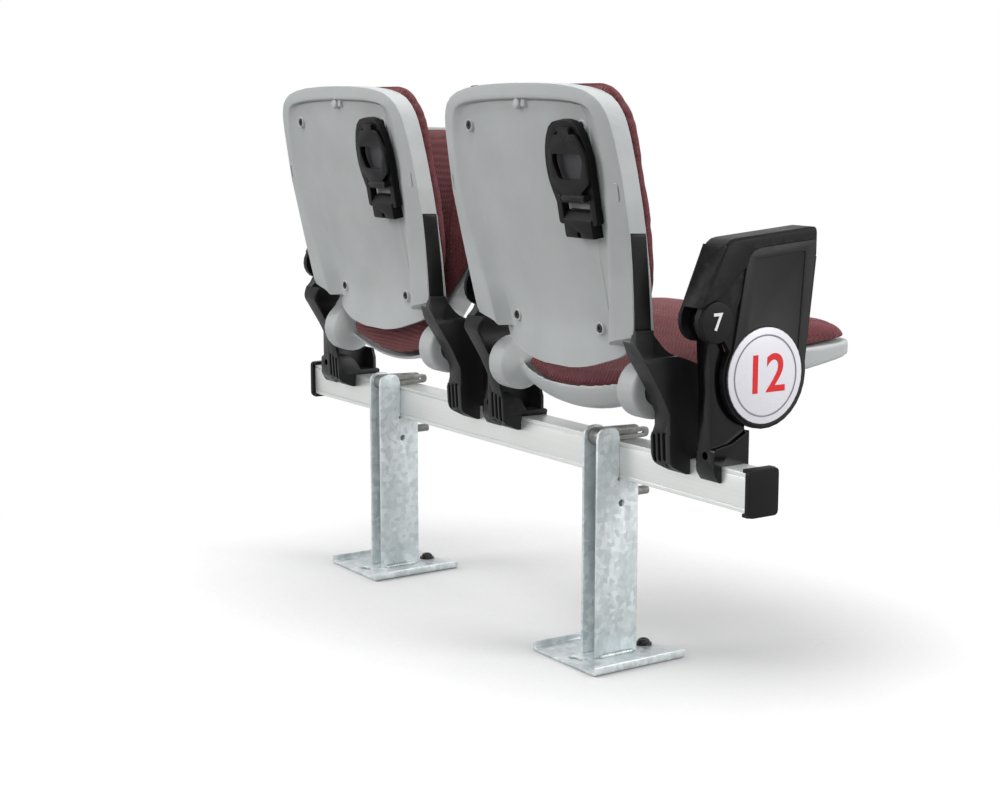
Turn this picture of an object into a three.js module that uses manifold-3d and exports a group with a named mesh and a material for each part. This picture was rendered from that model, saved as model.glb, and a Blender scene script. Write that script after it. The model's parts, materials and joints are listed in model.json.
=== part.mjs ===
// Two tip-up stadium seats on one beam, with three arms, two folding cup holders and two posts.
// Millimetres, +Z up. The sitter faces -Y, and the sitter's right hand is towards -X.
// "Forward" below is the distance towards -Y from the rear face of the beam.
import * as THREE from 'three';
import { mergeVertices } from 'three/addons/utils/BufferGeometryUtils.js';
import Module from 'manifold-3d';

const wasm = await Module();
wasm.setup();

// Fits and counts that every piece uses.
const fit = { gap: 0.3, run: 0.4, overrun: 5, weld: 0.001 };
const facets = { arc: 3, pin: 12, hub: 20, screw: 8, bevel: 1 };
const degree = Math.PI / 180;

// Driving dimensions. Most heights are worked up from the floor, through the beam and the seat's axis.
const row = { pitch: 500, restTilt: 70 };
const beam = { overhang: 148, height: 52, depth: 40, wall: 3, underside: 255, groove: 1, grooveInset: 6 };
beam.length = 2 * row.pitch + beam.overhang;
beam.top = beam.underside + beam.height;
const cap = { plate: 8.5, lip: 5, lipReach: 7, corner: 7, plug: 14, plugWall: 3, bevel: 0.6 };
const post = { inset: 90, width: 35, wall: 4, rear: 38, front: 33, earRise: 20.5, earRadius: 16, relief: 3 };
post.spacing = row.pitch + post.inset;
const base = { width: 148, rear: 81, front: 75, plate: 4, flange: 13, bend: 9, holeReach: 60 };
const floorBolt = { shank: 6, washer: 12, washerThick: 2.2, head: 9, headThick: 5.5, socket: 4.6, socketDeep: 3.4 };
const slot = { length: 26, width: 12 };
const lever = { pinBack: 20, pinRise: 5, pin: 5, pinHead: 7.5, pinHeadThick: 1.2, eye: 12.5, reach: 54 };
lever.barRise = 1;
lever.barHeight = 14;
lever.bar = 4;
lever.slit = 2.4;
lever.slitBack = 6;
lever.slitFront = 9;
const clampBolt = { shank: 6.5, drop: 25.5, front: 62, head: 9.5, headThick: 7 };
const sideHole = { radius: 5, drop: 35, forward: 4 };

// The tip-up seat pan, measured from its pivot: reach forward and height above the axis.
const pan = { axisRise: 87, axisBack: 25, rear: 12, front: 340, halfWidth: 204, waist: 165, corner: 48 };
pan.axisHeight = beam.top + pan.axisRise;
pan.waistEnd = 58;
pan.waistRun = 62;
pan.barrel = 39;
pan.barrelIn = 136;
pan.dome = 14;
pan.barrelEdge = 3;
pan.rise = 64;
pan.topDrop = 18;
pan.underRise = 80;
pan.underDrop = 46;
pan.bowTop = 54;
pan.bowUnder = 46;
pan.pin = 7;
pan.pinDepth = 22;
const seatCushion = { inset: 4, clear: 1.9, rise: 78, back: 6, front: 3, barrelClear: 2 };

// The backrest. Its sections follow the height shares in the tables of shares.
const back = { gap: 21, height: 377, rimRise: 63, halfWidth: 206, rear: 66, lean: 61, wall: 6 };
back.bottom = pan.axisHeight + back.gap;
back.top = back.bottom + back.height;
back.rimBottom = back.bottom + back.rimRise;
back.rimDepth = 31;
back.rimWidth = 42;
back.rimStep = 5;
back.lip = 9;
back.topBand = 24;
back.cornerAcross = 85;
back.cornerUp = 77;
back.boss = 9;
back.bossRise = 3;
back.tongue = 163;
const backCushion = { rise: 17, clear: 1.2, edge: 7, crown: 13, roll: 16 };
backCushion.bottom = back.bottom + backCushion.rise;
const screw = { head: 6, shank: 2.6, headThick: 3.4, socket: 3, socketDeep: 2 };
const screwPlaces = { upX: 131, upRise: 320, lowX: 94, lowRise: 56 };

// The two brackets that hold each seat.
const bracket = { centre: 192, width: 41, plate: 14, flange: 5, foot: 36, hook: 4.6, hookRise: 9, jaw: 33 };
bracket.boss = 20;
bracket.tip = 20;
bracket.wallRise = 43;
bracket.step = 8;
bracket.reliefRise = 50;
bracket.rearLine = [[-36, -25], [-50, 3], [-72, 39], [-92, 68]];
bracket.frontLine = [[-62, 76, 12], [-40, 55, 16], [0, 43, 18], [24, 30, 18], [29, 0, 20], [24, -32, 16]];
bracket.innerLine = [[-40, 5.5], [-10, 5.5], [5, 1.5], [28, 1.5], [45, 9.5], [93, 11.5], [155, 4.5], [175, 4.5]];
bracket.bevel = 0.6;
bracket.rib = { width: 6, pitch: 10, deep: 9, drop: 5, height: 38, inset: 6, stagger: 2 };
bracket.vent = { width: 6, height: 9, deep: 19, drop: 3 };
const strip = { height: 124, width: 22, thick: 5.5, inset: 2, corner: 5, tail: 8 };

// The cup holder. Heights are above its hinge line, and "out" is away from the back's panel.
const cupHolder = { across: 108.5, hingeRise: 200.5, lean: 10.4, standOff: 0.6, axisOut: 8, axisUp: 3, stub: 3 };
cupHolder.block = { shift: 6, half: 29.5, low: 20.5, high: 15, deep: 18, slope: 8, eyelet: 4 };
cupHolder.ring = { half: 47.5, top: 133, back: 5.6, thick: 11, wall: 15, web: 26, tail: 5.5, ear: 11 };
cupHolder.flap = { shift: 9.5, half: 28, wing: 12, high: 116, thick: 4, window: 32, barrel: 4.4, rod: 2, lug: 6 };
cupHolder.flap.rise = 8;
cupHolder.flap.tabHalf = 12;
cupHolder.flap.tab = 9;
cupHolder.flap.windowLow = 58;
cupHolder.flap.windowHigh = 91;

// The arms, measured from the centre plane of each.
const arm = { inside: 15, outside: 29, hubBack: 16.5, hubRise: 186.5, lobe: 27, cheek: 5, edge: 3.5 };
arm.hubHeight = beam.top + arm.hubRise;
arm.columnIn = 8.5;
arm.columnOut = 16.5;
arm.frontReach = 153;
arm.rise = 115;
arm.top = arm.hubHeight + arm.rise;
arm.slope = 12;
arm.rearTop = 1;
arm.block = 43;
arm.discForward = 65.5;
arm.discDrop = 73.5;
arm.discHeight = arm.hubHeight - arm.discDrop;
arm.paddle = 70;
arm.paddleShift = 3;
arm.panelThick = 3.4;
arm.panelRadius = 66;
arm.panelSlope = 17;
arm.panelRise = 98;
arm.panelRear = 35;
arm.panelNeck = 19;
arm.field = [[46, 77, 8], [131, 84, 4], [122, -50], [32, -50]];
arm.panelRim = 3;
arm.panelDeep = 1.6;
arm.disc = 62.5;
arm.discThick = 2.4;
const column = { eye: 15, rear: 13.5, front: 44, footIn: 11, footOut: 25, footRise: 23, webRise: 73, corner: 5 };
column.tipRise = 43;
column.clawDrop = 20;
column.hook = 5;
column.shoulderRise = 96;
column.neckRise = 160;
column.bore = 5.5;
column.boreRise = 13;
column.boreDeep = 9;
column.boreAcross = 7;
const hub = { pin: 8, cap: 27, capThick: 4, capChamfer: 1.5, pinInset: 5 };

// Turns a closed geometry into a solid that can be joined and cut.
function solidOf(geometry) {
  const bare = geometry.index ? geometry.toNonIndexed() : geometry.clone();
  bare.deleteAttribute('normal');
  bare.deleteAttribute('uv');
  const merged = mergeVertices(bare, fit.weld);
  const vertProperties = Float32Array.from(merged.attributes.position.array);
  const triVerts = Uint32Array.from(merged.index.array);
  const solid = new wasm.Manifold(new wasm.Mesh({ numProp: 3, vertProperties, triVerts }));
  if (solid.volume() > 0) {
    return solid;
  }
  for (let index = 0; index < triVerts.length; index += 3) {
    [triVerts[index], triVerts[index + 1]] = [triVerts[index + 1], triVerts[index]];
  }
  return new wasm.Manifold(new wasm.Mesh({ numProp: 3, vertProperties, triVerts }));
}

// Turns a solid back into a geometry.
function geometryOf(solid) {
  const mesh = solid.getMesh();
  const geometry = new THREE.BufferGeometry();
  geometry.setAttribute('position', new THREE.BufferAttribute(Float32Array.from(mesh.vertProperties), 3));
  geometry.setIndex(new THREE.BufferAttribute(Uint32Array.from(mesh.triVerts), 1));
  geometry.computeVertexNormals();
  return geometry;
}

// A closed outline with a round at each corner that gives a radius as its third number.
function outline(corners) {
  const shape = new THREE.Shape();
  corners.forEach(([u, v, radius = 0], index) => {
    const before = corners[(index + corners.length - 1) % corners.length];
    const after = corners[(index + 1) % corners.length];
    const here = new THREE.Vector2(u, v);
    const toBefore = new THREE.Vector2(before[0] - u, before[1] - v);
    const toAfter = new THREE.Vector2(after[0] - u, after[1] - v);
    const cut = Math.min(radius, toBefore.length() / 2.05, toAfter.length() / 2.05);
    const start = here.clone().addScaledVector(toBefore.normalize(), cut);
    const end = here.clone().addScaledVector(toAfter.normalize(), cut);
    if (index === 0) {
      shape.moveTo(start.x, start.y);
    } else {
      shape.lineTo(start.x, start.y);
    }
    if (cut > 0) {
      shape.quadraticCurveTo(u, v, end.x, end.y);
    }
  });
  shape.closePath();
  return shape;
}

function extruded(shape, length, bevel) {
  return new THREE.ExtrudeGeometry(shape, {
    depth: length - 2 * bevel,
    bevelEnabled: bevel > 0,
    bevelThickness: bevel,
    bevelSize: bevel,
    bevelOffset: -bevel,
    bevelSegments: facets.bevel,
    curveSegments: facets.arc,
  }).translate(0, 0, bevel);
}

// A prism along X. Corners are [forward, up, radius].
function acrossX(corners, xLow, xHigh, bevel = 0) {
  const shape = outline(corners.map(([forward, up, radius]) => [-forward, up, radius]));
  const turn = new THREE.Matrix4().makeBasis(
    new THREE.Vector3(0, 1, 0), new THREE.Vector3(0, 0, 1), new THREE.Vector3(1, 0, 0));
  return solidOf(extruded(shape, xHigh - xLow, bevel).applyMatrix4(turn).translate(xLow, 0, 0));
}

// A prism that runs forward. Corners are [x, up, radius].
function alongForward(corners, from, to, bevel = 0) {
  const turn = new THREE.Matrix4().makeBasis(
    new THREE.Vector3(1, 0, 0), new THREE.Vector3(0, 0, 1), new THREE.Vector3(0, -1, 0));
  return solidOf(extruded(outline(corners), to - from, bevel).applyMatrix4(turn).translate(0, -from, 0));
}

// A prism along Z. Corners are [x, forward, radius].
function upward(corners, low, high, bevel = 0) {
  const shape = outline(corners.map(([x, forward, radius]) => [x, -forward, radius]));
  return solidOf(extruded(shape, high - low, bevel).translate(0, 0, low));
}

function rectangle(left, right, low, high, radius = 0) {
  return [[left, low, radius], [right, low, radius], [right, high, radius], [left, high, radius]];
}

// A round bar along X at a forward and up place.
function barX(radius, xLow, xHigh, forward, up, sides = facets.pin) {
  const bar = new THREE.CylinderGeometry(radius, radius, xHigh - xLow, sides);
  return solidOf(bar.rotateZ(Math.PI / 2).translate((xLow + xHigh) / 2, -forward, up));
}

// A round bar that runs forward at an x and up place.
function barForward(radius, x, from, to, up, sides = facets.pin) {
  const bar = new THREE.CylinderGeometry(radius, radius, to - from, sides);
  return solidOf(bar.translate(x, -(from + to) / 2, up));
}

function turned(profile, sides) {
  return solidOf(new THREE.LatheGeometry(profile.map(([r, z]) => new THREE.Vector2(r, z)), sides).rotateX(Math.PI / 2));
}

// The value at one place in a table of [place, value] shares, with a smooth run between rows.
function follow(shares, place) {
  const last = shares.length - 1;
  if (place <= shares[0][0]) {
    return shares[0][1];
  }
  for (let index = 0; index < last; index += 1) {
    const [from, low] = shares[index];
    const [to, high] = shares[index + 1];
    if (place <= to) {
      return low + (high - low) * (place - from) / (to - from);
    }
  }
  return shares[last][1];
}

// A closed body between two surfaces that share their edge lines in u and v.
function slab(us, vs, upper, lower) {
  const places = [];
  const faces = [];
  const wide = us.length;
  const count = wide * vs.length;
  [upper, lower].forEach((surface) => vs.forEach((v) => us.forEach((u) => places.push(...surface(u, v)))));
  const quad = (a, b, c, d) => faces.push(a, b, c, a, c, d);
  for (let j = 0; j < vs.length - 1; j += 1) {
    for (let i = 0; i < wide - 1; i += 1) {
      const a = j * wide + i;
      quad(a, a + 1, a + 1 + wide, a + wide);
      quad(count + a, count + a + wide, count + a + 1 + wide, count + a + 1);
    }
  }
  const rim = [];
  for (let i = 0; i < wide - 1; i += 1) rim.push(i);
  for (let j = 0; j < vs.length - 1; j += 1) rim.push(j * wide + wide - 1);
  for (let i = wide - 1; i > 0; i -= 1) rim.push((vs.length - 1) * wide + i);
  for (let j = vs.length - 1; j > 0; j -= 1) rim.push(j * wide);
  rim.forEach((a, index) => {
    const b = rim[(index + 1) % rim.length];
    quad(b, a, count + a, count + b);
  });
  const geometry = new THREE.BufferGeometry();
  geometry.setAttribute('position', new THREE.Float32BufferAttribute(places, 3));
  geometry.setIndex(faces);
  return solidOf(geometry);
}

function even(count) {
  return Array.from({ length: count + 1 }, (_, index) => index / count);
}

const materials = {
  aluminium: new THREE.MeshStandardMaterial({ color: 0xd9dbdb, roughness: 0.35, metalness: 0.9 }),
  galvanised: new THREE.MeshStandardMaterial({ color: 0xb9c3c6, roughness: 0.45, metalness: 0.85 }),
  bolt: new THREE.MeshStandardMaterial({ color: 0x2a2826, roughness: 0.4, metalness: 0.8 }),
  shell: new THREE.MeshStandardMaterial({ color: 0xb4b8b8, roughness: 0.55, metalness: 0 }),
  fabric: new THREE.MeshStandardMaterial({ color: 0x6e1f26, roughness: 0.95, metalness: 0 }),
  nylon: new THREE.MeshStandardMaterial({ color: 0x1b1c1e, roughness: 0.5, metalness: 0 }),
  gloss: new THREE.MeshStandardMaterial({ color: 0x111214, roughness: 0.2, metalness: 0 }),
  disc: new THREE.MeshStandardMaterial({ color: 0xe4e3e8, roughness: 0.4, metalness: 0 }),
};

const seatRow = new THREE.Group();

function add(name, solid, material, parent = seatRow) {
  const mesh = new THREE.Mesh(geometryOf(solid), material);
  mesh.name = name;
  parent.add(mesh);
  return mesh;
}

// The beam: a rectangular tube with two fine grooves along its front and rear faces.
function beamSolid() {
  const half = beam.length / 2;
  let solid = acrossX([[0, beam.underside], [beam.depth, beam.underside], [beam.depth, beam.top], [0, beam.top]],
    -half, half);
  const bore = acrossX([
    [beam.wall, beam.underside + beam.wall], [beam.depth - beam.wall, beam.underside + beam.wall],
    [beam.depth - beam.wall, beam.top - beam.wall], [beam.wall, beam.top - beam.wall]],
    -half - fit.overrun, half + fit.overrun);
  solid = solid.subtract(bore);
  [beam.underside + beam.grooveInset, beam.top - beam.grooveInset].forEach((height) => {
    [[-fit.overrun, beam.groove], [beam.depth - beam.groove, beam.depth + fit.overrun]].forEach(([from, to]) => {
      const low = height - beam.groove / 2;
      const high = height + beam.groove / 2;
      const cut = acrossX([[from, low], [to, low], [to, high], [from, high]], -half - fit.overrun, half + fit.overrun);
      solid = solid.subtract(cut);
    });
  });
  return solid;
}

// An end cap: a rounded plate, lips over and under the beam, and a hollow plug inside it.
function capSolid() {
  const half = beam.length / 2;
  const start = half + fit.gap;
  const low = beam.underside - cap.lip;
  const high = beam.top + cap.lip;
  const plate = acrossX([[-cap.lip, low, cap.corner], [beam.depth + cap.lip, low, cap.corner],
    [beam.depth + cap.lip, high, cap.corner], [-cap.lip, high, cap.corner]], start, start + cap.plate, cap.bevel);
  const lips = [[low, beam.underside - fit.gap], [beam.top + fit.gap, high]].map(([from, to]) => acrossX(
    [[-cap.lip / 2, from], [beam.depth + cap.lip / 2, from], [beam.depth + cap.lip / 2, to], [-cap.lip / 2, to]],
    half - cap.lipReach, start + cap.plate / 2));
  const inner = beam.wall + fit.gap;
  const deeper = inner + cap.plugWall;
  const box = (inset) => [[inset, beam.underside + inset], [beam.depth - inset, beam.underside + inset],
    [beam.depth - inset, beam.top - inset], [inset, beam.top - inset]];
  const plug = acrossX(box(inner), half - cap.plug, start + cap.plate / 2)
    .subtract(acrossX(box(deeper), half - cap.plug - fit.overrun, start));
  return plate.add(lips[0]).add(lips[1]).add(plug);
}

// A post: a folded channel, open to the rear, whose ears rise behind the beam and hold the lever's pin.
function postSolid() {
  const half = post.width / 2;
  const low = base.plate + fit.gap;
  const seat = beam.underside - fit.gap;
  const earTop = beam.top + post.earRise;
  const rear = -post.rear;
  const front = post.front;
  let solid = acrossX([[rear, low], [rear, earTop, post.earRadius], [-fit.gap, earTop, post.earRadius],
    [-fit.gap, seat], [front, seat], [front, low]], -half, half);
  const inside = half - post.wall;
  solid = solid.subtract(acrossX([[rear - fit.overrun, low - fit.overrun], [front - post.wall, low - fit.overrun],
    [front - post.wall, earTop + fit.overrun], [rear - fit.overrun, earTop + fit.overrun]], -inside, inside));
  const through = half + fit.overrun;
  solid = solid.subtract(barX(post.relief, -through, through, -fit.gap, seat, facets.screw));
  solid = solid.subtract(barX(sideHole.radius, -through, through, sideHole.forward, beam.underside - sideHole.drop));
  solid = solid.subtract(barForward(clampBolt.shank + fit.gap, 0, front - post.wall - fit.overrun,
    front + fit.overrun, beam.underside - clampBolt.drop));
  const pinUp = beam.top + lever.pinRise;
  const head = half + lever.pinHeadThick;
  solid = solid.add(barX(lever.pin, -half, half, -lever.pinBack, pinUp));
  return [-1, 1].reduce((whole, side) => whole.add(barX(lever.pinHead, Math.min(side * half, side * head),
    Math.max(side * half, side * head), -lever.pinBack, pinUp)), solid);
}

// A base plate: upturned on its left and right, with a bolt hole in front and a slot behind.
function baseSolid() {
  const half = base.width / 2;
  const inner = half - base.plate;
  const section = [[-half, base.flange], [-half, 0, base.bend], [half, 0, base.bend], [half, base.flange],
    [inner, base.flange], [inner, base.plate, base.bend - base.plate],
    [-inner, base.plate, base.bend - base.plate], [-inner, base.flange]];
  let solid = alongForward(section, -base.rear, base.front);
  const hole = new THREE.CylinderGeometry(floorBolt.shank + fit.gap, floorBolt.shank + fit.gap,
    2 * base.flange, facets.pin);
  solid = solid.subtract(solidOf(hole.rotateX(Math.PI / 2).translate(0, -base.holeReach, 0)));
  const halfSlot = slot.length / 2;
  return solid.subtract(upward(rectangle(-halfSlot, halfSlot, -base.holeReach - slot.width / 2,
    -base.holeReach + slot.width / 2, slot.width / 2), -fit.overrun, base.flange));
}

// A floor bolt with its washer and a star socket.
function floorBoltSolid() {
  const seat = base.plate + fit.gap;
  const headLow = seat + floorBolt.washerThick;
  const headTop = headLow + floorBolt.headThick;
  const bolt = turned([[0, fit.gap], [floorBolt.shank, fit.gap], [floorBolt.shank, seat], [floorBolt.washer, seat],
    [floorBolt.washer, headLow], [floorBolt.head, headLow], [floorBolt.head, (headLow + headTop) / 2],
    [floorBolt.head * 0.72, headTop], [0, headTop]], facets.pin);
  const star = new THREE.Shape(Array.from({ length: 12 }, (_, index) => {
    const radius = floorBolt.socket * (index % 2 ? 0.68 : 1);
    const angle = index * Math.PI / 6;
    return new THREE.Vector2(radius * Math.cos(angle), radius * Math.sin(angle));
  }));
  const socket = extruded(star, floorBolt.socketDeep + fit.overrun, 0)
    .translate(0, 0, headTop - floorBolt.socketDeep);
  return bolt.subtract(solidOf(socket)).translate([0, -base.holeReach, 0]);
}

// The cam lever: an eye round its pin, and two slit bars that lie forward over the beam.
function leverSolid() {
  const half = post.width / 2 - post.wall - fit.run;
  const pinUp = beam.top + lever.pinRise;
  const low = beam.top + lever.barRise;
  const high = low + lever.barHeight;
  const round = lever.barHeight / 2;
  const eye = barX(lever.eye, -half, half, -lever.pinBack, pinUp, facets.hub);
  const bars = acrossX([[-lever.pinBack, low], [lever.reach, low, round], [lever.reach, high, round],
    [-lever.pinBack, pinUp + lever.eye]], -half, half);
  const between = acrossX([[lever.slitBack, low - fit.overrun], [lever.reach + fit.overrun, low - fit.overrun],
    [lever.reach + fit.overrun, high + fit.overrun], [lever.slitBack, high + fit.overrun]],
    -half + lever.bar, half - lever.bar);
  const middle = (low + high) / 2;
  const slitEnd = lever.reach - lever.slitFront;
  const slit = acrossX([[0, middle - lever.slit / 2], [slitEnd, middle - lever.slit / 2, lever.slit / 2],
    [slitEnd, middle + lever.slit / 2, lever.slit / 2], [0, middle + lever.slit / 2]],
    -half - fit.overrun, half + fit.overrun);
  return eye.add(bars).subtract(between).subtract(slit)
    .subtract(barX(lever.pin + fit.run, -half - fit.overrun, half + fit.overrun, -lever.pinBack, pinUp));
}

// The clamp bolt through the front wall of the post, just under the beam.
function clampBoltSolid() {
  const up = beam.underside - clampBolt.drop;
  const inside = post.front - post.wall - fit.gap;
  const head = barForward(clampBolt.head, 0, inside - clampBolt.headThick, inside, up, 6);
  const shank = barForward(clampBolt.shank, 0, inside - clampBolt.headThick / 2, clampBolt.front, up);
  return head.add(shank);
}

// One bracket of a pair. It is drawn for +X, and mirrored for the other side of the seat.
function bracketSolid() {
  const inX = bracket.centre - bracket.width / 2;
  const outX = bracket.centre + bracket.width / 2;
  const plateX = outX - bracket.plate;
  const { flange, tip, step, rib, vent, bevel, jaw } = bracket;
  const foot = -bracket.foot;
  const axis = pan.axisHeight;
  const wallTop = beam.top + bracket.wallRise;
  const hookTop = beam.top + bracket.hookRise;
  const lifted = (table) => table.map(([forward, rise, radius = 0]) => [forward, axis + rise, radius]);
  const rearLine = lifted(bracket.rearLine);
  const top = back.rimBottom - 2 * fit.gap;
  const stripRear = -back.rear - strip.width - strip.inset;
  const plate = acrossX([[foot + flange / 2, beam.top], ...rearLine, [stripRear, top],
    [stripRear + strip.width + strip.inset, top], ...lifted(bracket.frontLine), [jaw, wallTop], [jaw, hookTop]],
    plateX, outX, bevel);
  const inside = rearLine.map(([forward, up]) => [forward + 1.25 * flange, up - 0.6 * flange]).reverse();
  let rest = acrossX([[foot + flange / 2, beam.top], ...rearLine, ...inside, [foot + 1.5 * flange, beam.top]],
    inX, outX, fit.run);
  const over = beam.top + fit.gap;
  const jawFront = beam.depth + fit.gap + bracket.hook;
  rest = rest.add(acrossX([[foot, wallTop - step], [foot + flange / 2, beam.top - 0.75 * step, step],
    [-0.75 * step, beam.top - tip, step / 2], [-fit.gap, beam.top - tip], [-fit.gap, over],
    [beam.depth + fit.gap, over], [beam.depth + fit.gap, beam.top - 1.6 * tip],
    [jawFront, beam.top - 1.6 * tip, step / 4], [jawFront, hookTop, 0.6 * step], [step, hookTop],
    [-step / 2, wallTop - 2 * step], [-1.75 * step, wallTop - step]], inX, outX, fit.run));
  rest = rest.add(acrossX([[jaw, hookTop - bevel], [jaw + flange, hookTop - bevel], [jaw + flange, wallTop],
    [jaw, wallTop]], inX, outX));
  const innerLine = bracket.innerLine.map(([rise, inset]) => [inX + inset, beam.top + rise]);
  const lowest = innerLine[0][1];
  const highest = innerLine[innerLine.length - 1][1];
  const waist = alongForward([[inX - flange, lowest], ...innerLine, [inX - flange, highest]],
    -2 * back.rear - fit.overrun, jawFront + fit.overrun);
  let solid = plate.add(rest.subtract(waist));
  solid = solid.add(barX(bracket.boss, inX + fit.run, plateX + bevel, -pan.axisBack, axis, facets.hub));
  [0, 1, 2].forEach((index) => {
    const x = inX + rib.inset + index * rib.pitch;
    const low = beam.top - rib.drop + index * rib.stagger;
    const tall = alongForward(rectangle(x, x + rib.width, low, low + rib.height, rib.width / 2),
      foot - fit.overrun, foot + rib.deep);
    const small = alongForward(rectangle(x, x + vent.width, low - vent.drop - vent.height, low - vent.drop,
      vent.width / 2), foot - fit.overrun, foot + vent.deep);
    solid = solid.subtract(tall).subtract(small);
  });
  const relief = upward(rectangle(back.halfWidth, outX + fit.overrun, -back.rear, 2 * back.rear),
    axis + bracket.reliefRise, top + fit.overrun);
  solid = solid.subtract(relief);
  const stripLow = back.rimBottom - strip.tail;
  solid = solid.add(acrossX(stripCorners(0, stripLow), back.halfWidth - strip.thick, back.halfWidth));
  return solid.subtract(barX(pan.pin + fit.gap, inX - fit.overrun, plateX + bracket.plate / 2,
    -pan.axisBack, axis));
}

// The side strip that lies in a pocket of the backrest's rim. "Grow" gives the pocket its clearance.
function stripCorners(grow, low) {
  const rearAt = (height) => rimRear((height - back.bottom) / (back.top - back.bottom)) + strip.inset;
  const top = back.rimBottom + strip.height + grow;
  return [[rearAt(low) - grow, low], [rearAt(top) - grow, top, strip.corner],
    [rearAt(top) + strip.width + grow, top, strip.corner], [rearAt(low) + strip.width + grow, low]];
}

// How far back the inner panel and the rim stand, and how wide both are, by the share of the backrest's height.
const leanShares = [[0, 0], [0.15, 0.07], [0.305, 0.23], [0.49, 0.44], [0.7, 0.69], [0.85, 0.86], [1, 1]];
const proudShares = [[0, 0.65], [0.17, 0.65], [0.49, 0.25], [1, 0.23]];
const tongueShares = [[0, 0.35], [0.02, 0.6], [0.05, 0.8], [0.09, 0.93], [0.13, 0.98], [0.17, 1]];
const widthShares = [[0, 1], [0.31, 1], [0.546, 0.976], [0.716, 0.956], [0.8, 0.947], [1, 0.947]];
const rimShares = [[0, 1], [0.385, 1], [0.528, 0.83], [0.73, 0.48], [1, 0.48]];

function panelRear(share) {
  return -back.rear - back.lean * follow(leanShares, share);
}

function rimRear(share) {
  return panelRear(share) - back.rimDepth * follow(proudShares, share);
}

function backHalfWidth(height) {
  const share = (height - back.bottom) / (back.top - back.bottom);
  if (height < back.rimBottom) {
    return back.tongue * follow(tongueShares, share);
  }
  const wide = back.halfWidth * follow(widthShares, share);
  const up = Math.max(0, height - back.top + back.cornerUp) / back.cornerUp;
  return wide - back.cornerAcross * (1 - Math.max(0, 1 - up ** 2.6) ** (1 / 2.6));
}

// The heights that the shell and its cushion share, so that their curves lie on each other.
function backRows() {
  const bandStart = back.top - back.topBand;
  const cushionTop = back.top - back.lip - backCushion.clear;
  return [...[0.28, 0.385, 0.495, 0.6, 0.7, 0.796, 0.85, 0.9].map((share) => back.bottom
    + (back.top - back.bottom) * share), bandStart - back.rimStep, bandStart, cushionTop - backCushion.edge / 2,
    cushionTop];
}

// The backrest shell: a tray that holds the cushion, with a raised rim behind and a tongue below.
function backSolid() {
  const bandStart = back.top - back.topBand;
  const { lip, rimStep, bottom } = back;
  const tongueRows = [0, 0.05, 0.15, 0.4, 0.7].map((share) => bottom + back.rimRise * share);
  const heights = [...tongueRows, back.rimBottom - fit.gap, back.rimBottom, ...backRows(), back.top - lip,
    back.top - lip / 2, back.top - lip / 7, back.top];
  const share = (height) => (height - bottom) / (back.top - bottom);
  const places = (height) => {
    const w = backHalfWidth(height);
    const rim = Math.min(back.rimWidth * follow(rimShares, share(height)), 0.4 * w);
    const flank = Math.min(back.rimWidth + rimStep, 0.5 * w);
    return [-w, -w + lip, -w + rim, -w + flank, -w / 3, 0, w / 3, w - flank, w - rim, w - lip, w];
  };
  const us = places(back.top).map((_, index) => index);
  const rearSurface = (index, height) => {
    const x = places(height)[index];
    const onRim = height >= back.rimBottom && (index < 3 || index > 7 || height >= bandStart);
    const forward = onRim ? rimRear(share(height)) : panelRear(share(height));
    return [x, -forward, height];
  };
  const frontSurface = (index, height) => {
    const x = places(height)[index];
    const edge = index < 1 || index > 9 || height > back.top - lip;
    const onRim = height >= back.rimBottom && edge;
    const forward = onRim ? rimRear(share(height)) + back.rimDepth : panelRear(share(height)) + back.wall;
    return [x, -forward, height];
  };
  let solid = slab(us, heights, rearSurface, frontSurface);
  [-1, 1].forEach((side) => {
    const pocket = acrossX(stripCorners(fit.gap, back.rimBottom - fit.overrun), back.halfWidth - strip.thick - fit.gap,
      back.halfWidth + fit.overrun);
    solid = solid.subtract(side > 0 ? pocket : pocket.mirror([1, 0, 0]));
  });
  screwSpots().forEach(([x, height]) => {
    const rear = panelRear(share(height));
    solid = solid.add(barForward(back.boss, x, rear - back.bossRise, rear + back.wall / 2, height));
  });
  screwSpots().forEach(([x, height]) => {
    const rear = panelRear(share(height));
    const headRoom = rear - back.bossRise + screw.headThick;
    solid = solid.subtract(barForward(screw.head + fit.gap, x, rear - back.bossRise - fit.overrun, headRoom, height,
      facets.screw));
    solid = solid.subtract(barForward(screw.shank + fit.gap, x, headRoom - fit.run, rear + back.wall + fit.overrun,
      height, facets.screw));
  });
  return solid;
}

function screwSpots() {
  const upZ = back.bottom + screwPlaces.upRise;
  const lowZ = back.bottom + screwPlaces.lowRise;
  return [[-screwPlaces.upX, upZ], [screwPlaces.upX, upZ], [-screwPlaces.lowX, lowZ], [screwPlaces.lowX, lowZ]];
}

// A screw that holds the cushion's board to the shell.
function screwSolid(x, height) {
  const rear = panelRear((height - back.bottom) / (back.top - back.bottom));
  const headRear = rear - back.bossRise + fit.gap;
  const headFront = headRear + screw.headThick - 2 * fit.gap;
  const solid = barForward(screw.head, x, headRear, headFront, height, facets.screw)
    .add(barForward(screw.shank, x, headFront - fit.run, rear + back.wall - 2 * fit.gap, height, facets.screw));
  return solid.subtract(barForward(screw.socket, x, headRear - fit.overrun, headRear + screw.socketDeep, height, 6));
}

// A crown that is full in the middle and rolls down at the edge, from 1 to 0.
function crown(u, roll) {
  const edge = Math.min(1, (1 - Math.abs(u)) / roll);
  return Math.sqrt(Math.max(0, 1 - (1 - edge) ** 2));
}

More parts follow.
